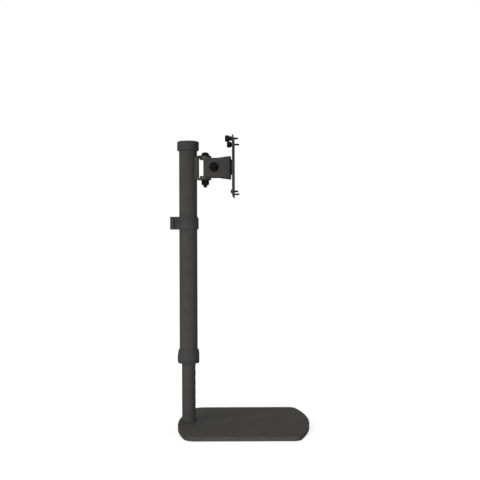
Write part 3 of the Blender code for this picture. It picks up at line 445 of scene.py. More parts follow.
def powder_coat():
    """Matt black powder coat: fine grain over a faint orange peel, a little cloudy."""
    colour = (0.058, 0.056, 0.055)
    made, tree, shader = material("powder_coat", colour, 0.8, specular=0.03)
    grain = noise(tree, 1500.0, 2.0, 0.6)
    peel = noise(tree, 420.0, 2.0)
    tint(tree, shader, noise(tree, 45.0, 4.0), colour, 0.08)
    gloss(tree, shader, grain, 0.74, 0.88)
    # lighter edges: partly rubbed wear, partly a painted highlight along the edges
    rubbed(tree, shader, wear(tree, 1.2), (0.085, 0.082, 0.08), 0.6)
    relief(tree, shader, [(peel, 0.35, 0.10), (grain, 0.5, 0.05)])
    return made


def moulding():
    """Black moulded plastic with a fine eroded texture."""
    colour = (0.052, 0.051, 0.052)
    made, tree, shader = material("moulding", colour, 0.7, specular=0.04)
    grain = noise(tree, 2400.0, 2.0, 0.55)
    tint(tree, shader, noise(tree, 70.0), colour, 0.06)
    gloss(tree, shader, grain, 0.62, 0.78)
    # lighter edges: partly rubbed wear, partly a painted highlight along the edges
    rubbed(tree, shader, wear(tree, 0.8), (0.066, 0.065, 0.066), 0.5)
    relief(tree, shader, [(grain, 0.45, 0.04)])
    return made


def rubber():
    """Black rubber, dull and slightly speckled."""
    colour = (0.022, 0.022, 0.022)
    made, tree, shader = material("rubber", colour, 0.85, specular=0.3)
    speckle = noise(tree, 900.0, 4.0, 0.7)
    tint(tree, shader, speckle, colour, 0.25)
    gloss(tree, shader, speckle, 0.78, 0.92)
    relief(tree, shader, [(speckle, 0.6, 0.08)])
    return made


def black_steel():
    """Black zinc plating: dark metal with fine drawn marks and cloudy gloss."""
    colour = (0.0065, 0.0065, 0.007)
    made, tree, shader = material("black_steel", colour, 0.45, 0.05, 0.04)
    cloud = noise(tree, 260.0, 4.0)
    tint(tree, shader, cloud, colour, 0.2)
    gloss(tree, shader, cloud, 0.38, 0.52)
    # lighter, glossier edges: partly rubbed wear, partly a painted highlight that gives the dark hardware
    # its edges
    rubbed(tree, shader, wear(tree, 0.35), (0.03, 0.03, 0.032), 0.38)
    relief(tree, shader, [(noise(tree, 900.0, 3.0, 0.6, (1, 1, 6)), 0.3, 0.02)])
    return made


def bright_steel():
    """Bare turned steel."""
    colour = (0.45, 0.45, 0.46)
    made, tree, shader = material("bright_steel", colour, 0.3, 1.0)
    marks = noise(tree, 500.0, 3.0, 0.6, (1, 1, 9))
    tint(tree, shader, marks, colour, 0.1)
    gloss(tree, shader, marks, 0.22, 0.4)
    relief(tree, shader, [(marks, 0.3, 0.02)])
    return made


def nylon():
    """Natural nylon, milky and slightly waxy."""
    colour = (0.6, 0.59, 0.56)
    made, tree, shader = material("nylon", colour, 0.45)
    cloud = noise(tree, 160.0)
    tint(tree, shader, cloud, colour, 0.05)
    gloss(tree, shader, cloud, 0.4, 0.52)
    relief(tree, shader, [(cloud, 0.25, 0.05)])
    return made


FINISHES = (powder_coat, moulding, rubber, black_steel, bright_steel, nylon)
LOOKS = {finish.__name__: finish() for finish in FINISHES}
SLOTS = {part["node"]: part["material_slot"] for part in frame["record"]["subparts"]}


def placed(name, data):
    """New object of the scene, at its origin."""
    made = bpy.data.objects.new(name, data)
    bpy.context.scene.collection.objects.link(made)
    return made


def put(node, surface, crease=40.0):
    """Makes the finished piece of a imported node: merged, closed, facing out, riding its body."""
    points, blocks = surface
    faces = [face for block in blocks for face in block.tolist()]
    data = bpy.data.meshes.new(node + "_dressed")
    data.from_pydata((points * MM).tolist(), [], faces)
    mesh = bmesh.new()
    mesh.from_mesh(data)
    bmesh.ops.remove_doubles(mesh, verts=mesh.verts, dist=0.002 * MM)
    bmesh.ops.recalc_face_normals(mesh, faces=mesh.faces)
    if mesh.calc_volume(signed=True) < 0:
        bmesh.ops.reverse_faces(mesh, faces=mesh.faces)
    mesh.to_mesh(data)
    mesh.free()
    data.shade_smooth()
    data.set_sharp_from_angle(angle=math.radians(crease))
    data.materials.append(LOOKS[SLOTS[node]])
    piece = placed(node + "_dressed", data)
    shading = piece.modifiers.new("even_shading", "WEIGHTED_NORMAL")
    shading.keep_sharp = True
    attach(piece, frame["nodes"][node]["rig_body"])
    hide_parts(node)


# Base

def plate_outline():
    """Plan of the plate: two bows of large radius joined to straight sides by corner arcs."""
    half_width = halved("base_plate", 1)[0]
    outline = []
    for side, (reach, bow, corner) in zip((1, -1), PLATE_ENDS):
        y = half_width - corner
        x = reach - bow + math.sqrt((bow - corner) ** 2 - y ** 2)
        swing = math.degrees(math.atan2(y, x - reach + bow))
        quarter = np.concatenate([arc((x, -y), corner, -90, -swing, 14),
                                  arc((reach - bow, 0), bow, -swing, swing, 60)[1:-1],
                                  arc((x, y), corner, swing, 90, 14)])
        outline.append(side * quarter)
    return np.concatenate(outline)


def base_plate():
    """Flat plate, its upper edge rounded, with the three countersunk holes of the foot screws."""
    hole, sink = 2.8, 2.2
    half, middle = halved("base_plate")
    loops, edges = [plate_outline()], [rounded_edge(half, PLATE_ROUND, PLATE_ROUND / 2, 5)]
    for place in ring((0, 0), FOOT_SCREW_CIRCLE, 3):
        loops.append(ring(place, hole, 24)[::-1])
        edges.append(sunk_edge(half, sink))
    fill = lattice(np.arange(-10, 230, 12.0), np.arange(-125, 126, 12.0))
    return sheet(loops, edges, lying(middle), fill)


def pad(node):
    """Round pad with a soft lower edge, its underside dished slightly inside the rim."""
    low, high = span(node)
    centre, radius, thick = (low + high) / 2, (high[0] - low[0]) / 2, high[2] - low[2]
    dish = 0.25
    rows = softened([(0, dish, 0), (radius * 0.55, dish, 1), (radius * 0.7, 0, 0.4), (radius, 0, 0.6),
                     (radius, thick, 0.25), (0, thick, 0)], closed=False)
    return aimed(turned(rows, 48), (0, 0, 1), (centre[0], centre[1], low[2]))


def inner_tube():
    """Tube rolled from a flat sheet (s, z): s runs round it, and the lock holes lie on its front."""
    low, high = span("inner_tube")
    middle = high[0] - TUBE_WALL / 2
    around = TURN * middle
    columns = np.linspace(0, around, 73)
    outline = np.concatenate([np.stack([columns, np.full_like(columns, low[2])], -1),
                              np.stack([columns[::-1], np.full_like(columns, high[2])], -1)])
    loops, edges = [outline], [rounded_edge(TUBE_WALL / 2, 0.35, steps=2)]
    for level in LOWEST_HOLE + HOLE_PITCH * np.arange(HOLE_COUNT):
        loops.append(ring((around / 2, level), HOLE_RADIUS, 32)[::-1])
        edges.append(rounded_edge(TUBE_WALL / 2, 0.25, steps=2))

    def roll(s, t, w):
        angle, radius = math.pi + s / middle, middle - w
        return np.stack([radius * np.cos(angle), radius * np.sin(angle), t], -1)

    levels = np.arange(low[2] + 3, high[2] - 2, HOLE_PITCH / 6)
    return sheet(loops, edges, roll, lattice(columns[1:-1], levels), seam=(0.0, around))


# Column

def outer_tube():
    """Plain tube, turned from a wall whose four corners are softened."""
    low, high = span("outer_tube")
    bore, radius = high[0] - TUBE_WALL, high[0]
    rows = softened([(bore, low[2], 0.3), (radius, low[2], 0.4),
                     (radius, high[2], 0.4), (bore, high[2], 0.3)])
    return turned(rows, 128, bored=True)


def top_cap():
    """Moulded cap: domed edge, a skirt with a softened lip, and the ring inside that centres it."""
    low, high = span("top_cap")
    radius, top, foot = high[0], high[2], low[2]
    tube_high = span("outer_tube")[1]
    bore, roof = tube_high[0] + SEAT_GAP, tube_high[2] + SEAT_GAP
    plug = tube_high[0] - TUBE_WALL - SEAT_GAP
    inside, end = plug - 2.6, roof - 11
    rows = softened([(0, top, 0), (radius, top, 3.0), (radius, foot, 0.9), (bore, foot, 0.4),
                     (bore, roof, 0.3), (plug, roof, 0.3), (plug, end, 0.9), (inside, end, 0.3),
                     (inside, roof, 0.5), (0, roof, 0)], closed=False, steps=8)
    return turned(rows, 128)


def cavity_radius(x_rear, x_front, half, corner, angle):
    """Distance from the pole's axis to a rounded rectangle, at each angle."""
    outline = softened([(x_rear, -half, corner), (x_front, -half, corner),
                        (x_front, half, corner), (x_rear, half, corner)], steps=24)
    bearing = np.arctan2(outline[:, 1], outline[:, 0])
    order = np.argsort(bearing)
    return np.interp(angle, bearing[order], np.hypot(outline[:, 0], outline[:, 1])[order], period=TURN)


def side_hole(points, rows, column, height, radii, wall_reach):
    """Opens a round hole along Y through the outer and the inner wall of a closed grid of points
    (row, column, xyz). About each wall's middle row and the column, a block of four by four cells is
    left out, and the points round it move on to a circle: turn t goes to (-r cos t, r sin t). A lip
    of the inner radius lies just inside the outer circle. Gives all the points and the faces."""
    turn, lip_depth = np.arange(16) * TURN / 16, 0.25
    beside, above = (np.clip(np.rint(2.83 * wave), -2, 2).astype(int)
                     for wave in (np.cos(turn), np.sin(turn)))
    kept, mouths = np.ones(points.shape[:2], bool), []
    for row, way, radius, reach in zip(rows, (1, -1), radii, wall_reach):
        spot = row + way * above, column + beside
        x, z = -radius * np.cos(turn), height + radius * np.sin(turn)
        points[spot] = np.stack([x, np.sqrt(reach(z) ** 2 - x ** 2), z], -1)
        kept[row - 2:row + 2, column - 2:column + 2] = False
        mouths.append(spot[0] * points.shape[1] + spot[1])
    quads = grid(*points.shape[:2], True)[kept.ravel()]
    points = points.reshape(-1, 3)
    lip = np.stack([-radii[1] * np.cos(turn), points[mouths[0], 1] - lip_depth,
                    height + radii[1] * np.sin(turn)], -1)
    mouths.insert(1, len(points) + np.arange(16))
    return np.concatenate([points, lip]), [quads, np.concatenate(mouths)[grid(3, 16)]]


def collar():
    """Collar body: a grid of profile rows by angles. Where the button's window is, the rows of the
    lower wall close up to the window's top, and a doubled column makes each side of the window. Over
    the window the wall swells towards the button, by a cosine of the angle across it."""
    window, swell = 6.8, 0.85
    low, high = span("collar")
    slide_high = span("lock_slide")[1]
    tube_low, tube_high = span("outer_tube")
    radius, foot, top = high[0], low[2], high[2]
    shoulder, bevel = top - 7.0, 1.4
    socket, floor = tube_high[0] + SEAT_GAP, tube_low[2] - SEAT_GAP
    bore, roof = span("inner_tube")[1][0] + GUIDE_GAP, slide_high[2] + SEAT_GAP

    swing = math.asin(window / radius)
    side = np.linspace(swing - math.pi, math.pi - swing, 110)
    back = np.linspace(math.pi - swing, math.pi + swing, 15)
    angle = np.concatenate([side, back])
    behind = np.arange(len(angle)) >= len(side)
    lift = np.where(behind, roof, foot)
    edge = np.where(behind, 0.0, 0.3)
    cavity = cavity_radius(-18.2, 17.95, slide_high[1] + SEAT_GAP, 13.0, angle)

    wall = softened([(radius, roof, 0), (radius, shoulder, 3.0), (radius - bevel, top, 0.5),
                     (socket, top, 0.3), (socket, floor, 0), (bore, floor, 0.3), (bore, roof, 0)],
                    closed=False, steps=4)
    outside = wall[:7]
    grub = halved("grub_screw")[1]
    beside_grub = grub + 1.05 * np.arange(-3, 4)
    rows = [(radius - 0.3 + 0.3 * behind, lift), (radius, lift + edge), wall[0]]
    outer_row = len(rows) + 3
    rows += [(np.interp(h, outside[:, 1], outside[:, 0]), h) for h in beside_grub] + list(wall[6:16])
    inner_row = len(rows) + 3
    rows += [(socket, h) for h in beside_grub[::-1]] + list(wall[16:]) + [(cavity, roof), (cavity, lift)]

    radii = np.array([np.broadcast_to(r, len(angle)) for r, h in rows])
    levels = np.array([np.broadcast_to(h, len(angle)) for r, h in rows])
    across = np.clip((angle - math.pi) / swing, -1, 1)
    fall = np.clip((shoulder - levels) / (shoulder - roof), 0, 1)
    radii = radii + swell * np.cos(across * math.pi / 2) * fall * (radii > radius - 1)
    points = np.stack([radii * np.cos(angle), radii * np.sin(angle), levels], -1)
    for first, y in ((0, -window), (len(side) - 1, window), (len(side), window), (-1, -window)):
        points[:, first, 1] = y
        points[:, first, 0] = -np.sqrt(radii[:, first] ** 2 - window ** 2)
    return side_hole(points, (outer_row, inner_row), int(np.argmin(np.abs(angle - math.pi / 2))), grub,
                     (2.55, 2.3), (lambda z: np.interp(z, outside[:, 1], outside[:, 0]), lambda z: socket))


def collar_ring():
    """Lower ring of the collar, with its two countersunk screw holes."""
    hole, sink = 1.1, 0.45
    half, middle = halved("collar_ring")
    radius, bore = halved("collar_ring", 0)[0], span("inner_tube")[1][0] + GUIDE_GAP
    loops = [ring((0, 0), radius, 96), ring((0, 0), bore, 96)[::-1]]
    edges = [rounded_edge(half, 0.3, 1.2, 5), rounded_edge(half, 0.3, steps=2)]
    for node in ("collar_screw_near", "collar_screw_far"):
        loops.append(ring((0, halved(node, 1)[1]), hole, 16)[::-1])
        edges.append(sunk_edge(half, sink))
    return sheet(loops, edges, lying(middle), NO_FILL)


def grub_screw():
    """Headless screw with a hexagon socket, and a bevelled point on the tube."""
    low, high = span("grub_screw")
    radius, length = high[0], high[1] - low[1]
    key = hexagon(radius / 2)
    rows = [(0, 0), (radius * 0.8, 0), (radius, 0.4), (radius, length - 0.25), (radius - 0.2, length),
            (radius * 0.66, length), (key, length - 0.15), (key, length / 2), (0, length / 2 - 0.3)]
    return aimed(turned(rows), (0, 1, 0), (0, low[1], halved("grub_screw")[1]))


def lock_slide():
    """Ring of the lock with its push button behind and its pin in front. The outline is a rounded
    rectangle that the button's straight sides leave, to end in an arc about the pole's axis."""
    corner, rear, button, bore, travel = 12.7, 17.9, 6.5, 13.6, 2.2
    pin, pin_length, pin_tip = 3.4, 4.6, 10.85
    low, high = span("lock_slide")
    half, middle = halved("lock_slide")
    face, front, side = -low[0], high[0] - corner, high[1] - corner
    back = corner - rear
    swing = math.degrees(math.asin((button - 0.8) / face))
    meet = back - math.sqrt(corner ** 2 - (button - side) ** 2)
    start = math.degrees(math.atan2(button - side, meet - back))
    shoulder = -math.sqrt(face ** 2 - button ** 2) - 0.1
    first, *arch, last = arc((0, 0), face, 180 - swing, 180 + swing, 16)
    outline = np.concatenate([
        arc((back, -side), corner, -start, -90, 12),
        arc((front, -side), corner, -90, 0, 16),
        arc((front, side), corner, 0, 90, 16),
        arc((back, side), corner, 90, start, 12),
        softened([(meet, button, 0), (shoulder, button, 0.7), (*first, 0)], closed=False, steps=4)[1:],
        arch,
        softened([(*last, 0), (shoulder, -button, 0.7), (meet, -button, 0)], closed=False, steps=4)[:-1]])
    hole = np.concatenate([arc((0, 0), bore, -90, 90, 32), arc((-travel, 0), bore, 90, 270, 32)])[::-1]
    body = sheet([outline, hole], [rounded_edge(half, 0.6, steps=4), rounded_edge(half, 0.3, steps=2)],
                 lying(middle), NO_FILL)
    rows = softened([(0, 0, 0), (pin, 0, 0.5), (pin, pin_length, 0), (0, pin_length, 0)], closed=False)
    return together(body, aimed(turned(rows, 40), (1, 0, 0), (pin_tip, 0, middle)))


def cable_clip():
    """Band round the tube and channel behind it: one outline, with the slot and the channel's inside
    in it, carried up the clip. The slot's two lips stand a little proud. The band's front half is
    bevelled at its ends, and the finger grooves press the outer wall in where they lie."""
    side, wall, bore, ridge = 9.5, 2.4, 17.8, 0.55
    slot_half, lip = 0.8, 0.8
    tall, short = 4.3, 2.0                    # heights of the bevels at the band's upper and lower end
    groove, groove_pitch = 0.7, 4.0
    low, high = span("cable_clip")
    half, middle = halved("cable_clip")
    rear, band = low[0], high[0]
    slot, proud = rear + 8.5, -side - ridge
    join = -math.sqrt(band ** 2 - side ** 2)
    inner_rear, inner_front, inner_side = rear + wall, -band - 1.0, side - wall
    swing = math.degrees(math.atan2(side, join))
    outline = np.concatenate([
        arc((0, 0), band, -swing, swing, 96),
        softened([(join, side, 0), (rear, side, 3.5), (rear, -side, 3.5), (slot - 3.7, -side, 0.4),
                  (slot - 3.1, proud, 0.9), (slot - slot_half, proud, lip),
                  (slot - slot_half, -inner_side, lip), (inner_rear, -inner_side, 1.1),
                  (inner_rear, inner_side, 1.1), (inner_front, inner_side, 1.1),
                  (inner_front, -inner_side, 1.1), (slot + slot_half, -inner_side, lip),
                  (slot + slot_half, proud, lip), (slot + 3.1, proud, 0.9), (slot + 3.7, -side, 0.4),
                  (-22.0, -side, 0), (-21.5, -side, 0), (-21.0, -side, 0), (join, -side, 0)],
                 closed=False, steps=6)[1:-1]])
    x, y = outline.T
    outer = (np.abs(y) > side - 0.01) | (np.hypot(x, y) < band + 0.01)
    press = groove * outer * np.interp(x, [-22.2, -21.7, -14.8, -14.0], [0, 1, 1, 0])
    front = outer * np.interp(x, [-9.0, -2.0], [0, 1])
    steps = []
    for inset, w in rounded_edge(half, 0.6, steps=4):
        bevel = max(1.9 * (1 - (half - w) / tall), 1.1 * (1 - (half + w) / short), 0)
        steps.append((np.maximum(inset, front * bevel), w))
    middle_steps = [(0 * front, half - tall)]
    for level in (groove_pitch, 0.0, -groove_pitch):
        for rise, share in ((1.05, 0), (0.7, 0.35), (0.5, 1), (-0.5, 1), (-0.7, 0.35), (-1.05, 0)):
            middle_steps.append((press * share, level + rise))
    steps[5:5] = middle_steps + [(0 * front, short - half)]
    return sheet([outline, ring((0, 0), bore, 96)[::-1]], [steps, rounded_edge(half, 0.4, steps=2)],
                 lying(middle), NO_FILL)


# Head

def clevis_bracket():
    """Strip folded into a web and two ears: the middle line runs in XZ and the width along Y. The
    web's rear face is drawn back on to the tube: x falls by the depth of the tube's curve at y."""
    bend = 3.0
    high = span("clevis_bracket")[1]
    front, nose, ear = high[0], high[1], high[2] - STEEL / 2 - SWIVEL[2]
    seat = span("outer_tube")[1][0] + SEAT_GAP
    flat, tall = front - seat - STEEL / 2 - bend, 2 * (ear - bend)
    corner = (bend * math.pi / 2, 90)
    legs = [(flat, 0), corner, (tall, 0), corner, (flat, 0)]
    bent = folded((front, ear), 180, legs)
    total = sum(length for length, turn in legs)
    marks = stations(legs, 3.0, 0.6)
    along = marks[(marks > nose) & (marks < total - nose)]
    loops = [strip(total, nose, along, np.full_like(along, nose))]
    loops += [ring((s, 0), M8_HOLE, 32)[::-1] for s in (nose, total - nose)]

    def fold(s, t, w):
        x, z = bent(s, w).T
        depth = seat - np.sqrt(seat ** 2 - np.minimum(abs(t), seat) ** 2)
        return np.stack([x - depth * np.clip((seat + STEEL - x) / STEEL, 0, 1), t, z + SWIVEL[2]], -1)

    edges = [rounded_edge(STEEL / 2, 1.3, SHEARED, 5)] + [rounded_edge(STEEL / 2, SHEARED)] * 2
    return sheet(loops, edges, fold, lattice(marks, np.linspace(-11, 11, 12)))


def swivel_knuckle():
    """Strip folded into a closed box: the middle line runs in YZ and the width along X. The rear
    edge bulges into a lug above and below, and the front edge into a nose on each cheek."""
    rear, front, lug, nose, bend = 30.8, 57.0, 11.0, 14.0, 2.5
    begin = 11.6                              # the seam, beside the lower lug
    high = span("swivel_knuckle")[1]
    wide, tall = high[1] - STEEL / 2, high[2] - STEEL / 2 - SWIVEL[2]
    corner, cheek = (bend * math.pi / 2, 90), (2 * (tall - bend), 0)
    legs = [(wide - bend - begin, 0), corner, cheek, corner,
            (2 * (wide - bend), 0), corner, cheek, corner, (wide - bend + begin, 0)]
    bent = folded((begin, -tall), 0, legs)
    ends = np.cumsum([length for length, turn in legs])
    total = ends[-1]
    right, top, left = (ends[1:7:2] + ends[2:7:2]) / 2
    marks = stations(legs, 2.5, 0.55)
    lugs = [(top, SWIVEL[0]), (total - begin, SWIVEL[0])]
    noses = [(right, TILT[0]), (left, TILT[0])]

    def edge(centres, level, radius, facing):
        """Straight edge at a level with an arc about each centre, as wide as it reaches over it."""
        swing = math.acos(abs(level - centres[0][1]) / radius)
        half, swing = radius * math.sin(swing), math.degrees(swing) * np.sign(facing)
        clear = np.all([np.abs(marks - centre[0]) > half + 0.2 for centre in centres], axis=0)
        points = [np.stack([marks[clear], np.full(clear.sum(), level)], -1)]
        points += [arc(centre, radius, facing - swing, facing + swing, 28) for centre in centres]
        points = np.concatenate(points)
        return points[np.argsort(points[:, 0], kind="stable")]

    outline = np.concatenate([edge(lugs, rear, lug, 270), edge(noses, front, nose, -270)[::-1]])
    loops = [outline] + [ring(centre, M8_HOLE, 32)[::-1] for centre in lugs]
    loops += [ring(centre, M6_HOLE, 32)[::-1] for centre in noses]

    def fold(s, t, w):
        y, z = bent(s, w).T
        return np.stack([t, y, z + SWIVEL[2]], -1)

    return sheet(loops, [rounded_edge(STEEL / 2, SHEARED)] * 5, fold,
                 lattice(marks[1:-1], np.arange(23.5, 65, 2.0)), seam=(0.0, total))


def tilt_yoke():
    """Strip folded into a web and two ears: the middle line runs in XY and the width along Z. Its
    edges follow the tangents from the ears' noses to the web's corners."""
    bend = 1.95
    low, high = span("tilt_yoke")
    rear, front, ear = low[0], high[0] - YOKE_STEEL / 2, high[1] - YOKE_STEEL / 2
    nose, rise = TILT[0] - rear, high[2] - TILT[2]
    side, corner = (front - bend - rear, 0), (bend * math.pi / 2, 90)
    legs = [side, corner, (2 * (ear - bend), 0), corner, side]
    bent = folded((rear, -ear), 0, legs)
    total = sum(length for length, turn in legs)
    reach = math.hypot(high[0] - TILT[0], rise)
    lean = math.atan2(rise, high[0] - TILT[0]) + math.acos(nose / reach)
    touch = nose + nose * math.cos(lean)
    marks = stations(legs, 3.0, 0.6)
    along = marks[(marks > touch + 0.4) & (marks < total - touch - 0.4)]
    ahead = bent(along, 0 * along)[:, 0] - rear - touch
    half = ahead * math.tan(lean - math.pi / 2) + nose * math.sin(lean)
    loops = [strip(total, nose, along, half, math.degrees(lean), 48)]
    loops += [ring((s, 0), M6_HOLE, 32)[::-1] for s in (nose, total - nose)]
    loops.append(ring((total / 2, PIVOT[2] - TILT[2]), M8_HOLE, 32)[::-1])

    def fold(s, t, w):
        x, y = bent(s, w).T
        return np.stack([x, y, t + TILT[2]], -1)

    return sheet(loops, [rounded_edge(YOKE_STEEL / 2, SHEARED)] * 4, fold,
                 lattice(marks, np.arange(-20, 21, 2.5)))


def washer(node, axis, bore):
    """Punched washer: one face rounded over at its rims, the other nearly sharp."""
    low, high = span(node)
    size, middle = high - low, (low + high) / 2
    way = int(np.argmax(np.abs(axis)))
    thick, radius = size[way], size[(way + 1) % 3] / 2
    rows = softened([(bore, 0, 0.08), (radius, 0, 0.12),
                     (radius, thick, thick * 0.35), (bore, thick, thick * 0.2)])
    at = middle - np.array(axis, float) * thick / 2
    return aimed(turned(rows, 72, bored=True), axis, at)


def lock_nut(axis, seat, bore, flats, height):
    """Hexagon nut: its radius is the lesser of the hexagon's and a 30 degree cone's at each end, and
    a round collar with the nylon insert stands on its far end."""
    sides, slope = hexagon(flats / 2), math.tan(math.radians(30))
    crown, body = flats / 2 * 0.95, height * 0.88
    rise, insert, brim = (sides.max() - crown) * slope, bore + 1.6, crown * 0.93
    cone = [(np.minimum(sides, crown + rise * share / slope), rise * share)
            for share in (0.15, 0.35, 0.6, 0.8, 1.0)]
    rows = [(bore, 0.3), (bore + 0.4, 0), (crown, 0)] + cone
    rows += [(r, body - h) for r, h in cone[::-1]] + [(crown, body), (brim, body + 0.05)]
    rows += list(softened([(brim, body + 0.1, 0), (crown * 0.91, height, 0.9), (insert, height, 0.3),
                           (insert, height - 0.6, 0.2), (bore, height - 0.6, 0)], closed=False, steps=4))
    return aimed(turned(rows, bored=True), axis, seat)


def key_recess(flats, floor, mouth):
    """Rows of a hexagon recess from its middle out: a cone at its floor, then the flats up to the
    mouth."""
    sides = hexagon(flats / 2)
    return [(flats * 0.36, floor), (sides, floor), (sides, mouth)]


def button_bolt(axis, seat, size, head, tall, length, worked, flange=None):
    """Domed head with a hexagon recess, on a sloping flange where it has one, and a shank whose last
    part is threaded."""
    shank, pitch, flats = size
    floor, start = tall * 0.35, math.asin(flats / 2 * 1.32 / head)
    dome = [(head * math.sin(a), tall * (0.35 + 0.65 * math.cos(a)))
            for a in np.linspace(start, math.pi / 2, 12)]
    rows = [(0, floor - 0.5)] + key_recess(flats, floor, dome[0][1] - 0.25)
    rows += [(flats / 2 * 1.2, dome[0][1] + 0.02)] + dome
    foot = [(head, tall * 0.3, 0), (head, 0, 0.3)]
    if flange:
        foot = [(head + 0.15, tall * 0.32, 0), (flange, tall * 0.22, 0.4), (flange, 0, 0.25)]
    rows += list(softened(foot + [(shank, 0, 0.2), (shank, worked - length, 0)], closed=False, steps=3))
    rows += thread(shank, pitch, worked - length, 0.6 - length)[1:]
    rows += [(shank * 0.82, -length), (0, -length)]
    return aimed(turned(rows), axis, seat)


def flush_bolt(axis, seat, size, head, length, worked):
    """Countersunk screw whose flat head is level with its seat, and a shank that runs up from it."""
    shank, pitch, flats = size
    depth = head - shank
    floor = depth * 0.8
    rows = [(0, floor + 0.4)] + key_recess(flats, floor, 0.2)
    rows += [(flats / 2 * 1.22, 0), (head - 0.15, 0), (head, 0.15),
             (shank, depth), (shank, length - worked)]
    rows += thread(shank, pitch, length - worked, length - 0.6)[1:]
    rows += [(shank * 0.82, length), (0, length)]
    return aimed(turned(rows), axis, seat)


def thumb_screw(node):
    """Knurled head, neck and thread. The head's radius falls by a wave of 16 flutes."""
    neck, neck_end, head, flutes, columns = 4.3, 4.8, 6.1, 16, 160
    shank, pitch = M4[:2]
    low, high = span(node)
    at = PIVOT[0] - SEAT_GAP, halved(node, 1)[1], halved(node)[1]
    top, tip = at[0] - low[0], at[0] - high[0]
    angle = np.arange(columns) * TURN / columns
    flute = 0.5 * (0.5 - 0.5 * np.cos(flutes * angle)) ** 0.7
    rows = [(0, tip), (1.5, tip)] + thread(shank, pitch, tip + 0.5, -0.2, columns)
    rows += [(shank, 0), (neck - 0.3, 0), (neck, 0.3), (neck, neck_end - 0.2), (neck + 0.25, neck_end),
             (head - 0.75, neck_end)]
    for share, level in ((0, neck_end), (0.35, 4.95), (0.75, 5.2), (1, 5.6), (1, top - 0.8),
                         (0.75, top - 0.4), (0.35, top - 0.12), (0, top)):
        rows.append((head - 0.7 * (1 - share) - flute * share, level))
    rows += [(head - 1.3, top), (head - 1.7, top - 0.25), (2.4, top - 0.55), (0, top - 0.6)]
    return aimed(turned(rows, columns), (-1, 0, 0), at)


def turning_disc():
    """Flat disc with a softened rim, turned round the plate's pivot."""
    low, high = span("turning_disc")
    radius, thick = (high[1] - low[1]) / 2, high[0] - low[0]
    rows = softened([(M8_HOLE, 0, 0.2), (radius, 0, 0.5), (radius, thick, 0.5), (M8_HOLE, thick, 0.2)])
    return aimed(turned(rows, 96, bored=True), (1, 0, 0), (low[0], PIVOT[1], PIVOT[2]))


def mounting_plate():
    """Square plate with both hole squares and the countersunk hole of its pivot."""
    corner, hole, sink = 9, 2.4, 2.3
    low, high = span("mounting_plate")
    half, middle = halved("mounting_plate", 0)
    loops = [softened([(low[1], low[2], corner), (high[1], low[2], corner), (high[1], high[2], corner),
                       (low[1], high[2], corner)], steps=14)]
    edges = [rounded_edge(half, SHEARED)]
    for reach in HOLE_SQUARES:
        for y in (-reach, reach):
            for z in (PIVOT[2] - reach, PIVOT[2] + reach):
                loops.append(ring((y, z), hole, 28)[::-1])
                edges.append(rounded_edge(half, 0.25))
    loops.append(ring((0, PIVOT[2]), M8_HOLE, 48)[::-1])
    edges.append([(0, half), (0, half - 0.2), (sink, -half)])
    return sheet(loops, edges, lambda s, t, w: np.stack([middle - w, s, t], -1),
                 lattice(np.arange(-50, 51, 10.0), PIVOT[2] + np.arange(-50, 51, 10.0)))


# Placing the pieces

CREASES = {"collar": 30.0, "cable_clip": 50.0}  # degrees between faces that stay sharp, else 40
put("base_plate", base_plate())
for name in ("pad_pole", "pad_front_near", "pad_front_far", "pad_rear_near", "pad_rear_far"):
    put(name, pad(name))
for shape in (inner_tube, outer_tube, top_cap, collar, collar_ring, grub_screw, lock_slide, cable_clip,
              clevis_bracket, swivel_knuckle, tilt_yoke, turning_disc, mounting_plate):
    put(shape.__name__, shape(), CREASES.get(shape.__name__, 40.0))

UP, DOWN, NEAR, FAR, REAR = (0, 0, 1), (0, 0, -1), (0, -1, 0), (0, 1, 0), (-1, 0, 0)
for name, way, hole in (("swivel_washer_top", UP, M8_HOLE), ("swivel_washer_bottom", DOWN, M8_HOLE),
                        ("nylon_washer_top", UP, M8_HOLE), ("nylon_washer_bottom", DOWN, M8_HOLE),
                        ("tilt_nylon_near", NEAR, M6_HOLE), ("tilt_nylon_far", FAR, M6_HOLE),
                        ("tilt_washer_near", NEAR, M6_HOLE), ("tilt_washer_far", FAR, M6_HOLE),
                        ("pivot_washer", REAR, M8_HOLE)):
    put(name, washer(name, way, hole))

put("swivel_bolt", button_bolt(UP, SWIVEL + (0, 0, SWIVEL_GRIP), M8, head=6.8, tall=5.3, length=63.5,
                               worked=22.0, flange=7.95))
put("swivel_nut", lock_nut(DOWN, SWIVEL - (0, 0, SWIVEL_GRIP), M8_HOLE, flats=13.0, height=8.0))
put("tilt_bolt", button_bolt(FAR, TILT + (0, TILT_GRIP, 0), M6, head=5.3, tall=3.4, length=54.3,
                             worked=18.0))
put("tilt_nut", lock_nut(NEAR, TILT - (0, TILT_GRIP, 0), M6_HOLE, flats=10.0, height=6.0))
plate_face = span("mounting_plate")[1][0]
put("pivot_bolt", flush_bolt(REAR, (plate_face, 0, PIVOT[2]), M8, head=6.2, length=20.6, worked=14.0))
put("pivot_nut", lock_nut(REAR, (PIVOT_NUT_SEAT, 0, PIVOT[2]), M8_HOLE, flats=13.0, height=8.0))
for name, side in (("lower_screw_near", -1), ("lower_screw_far", 1)):
    seat = (PIVOT[0] - SEAT_GAP, side * HOLE_SQUARES[0], PIVOT[2] - HOLE_SQUARES[0])
    put(name, button_bolt(REAR, seat, M4, head=3.9, tall=2.4, length=11.8, worked=11.3))
for name in ("thumb_screw_near", "thumb_screw_far"):
    put(name, thumb_screw(name))

for name, node in frame["nodes"].items():
    if not node.hide_render:
        node.data.materials.clear()
        node.data.materials.append(LOOKS[SLOTS[name]])


# Floor, light and camera

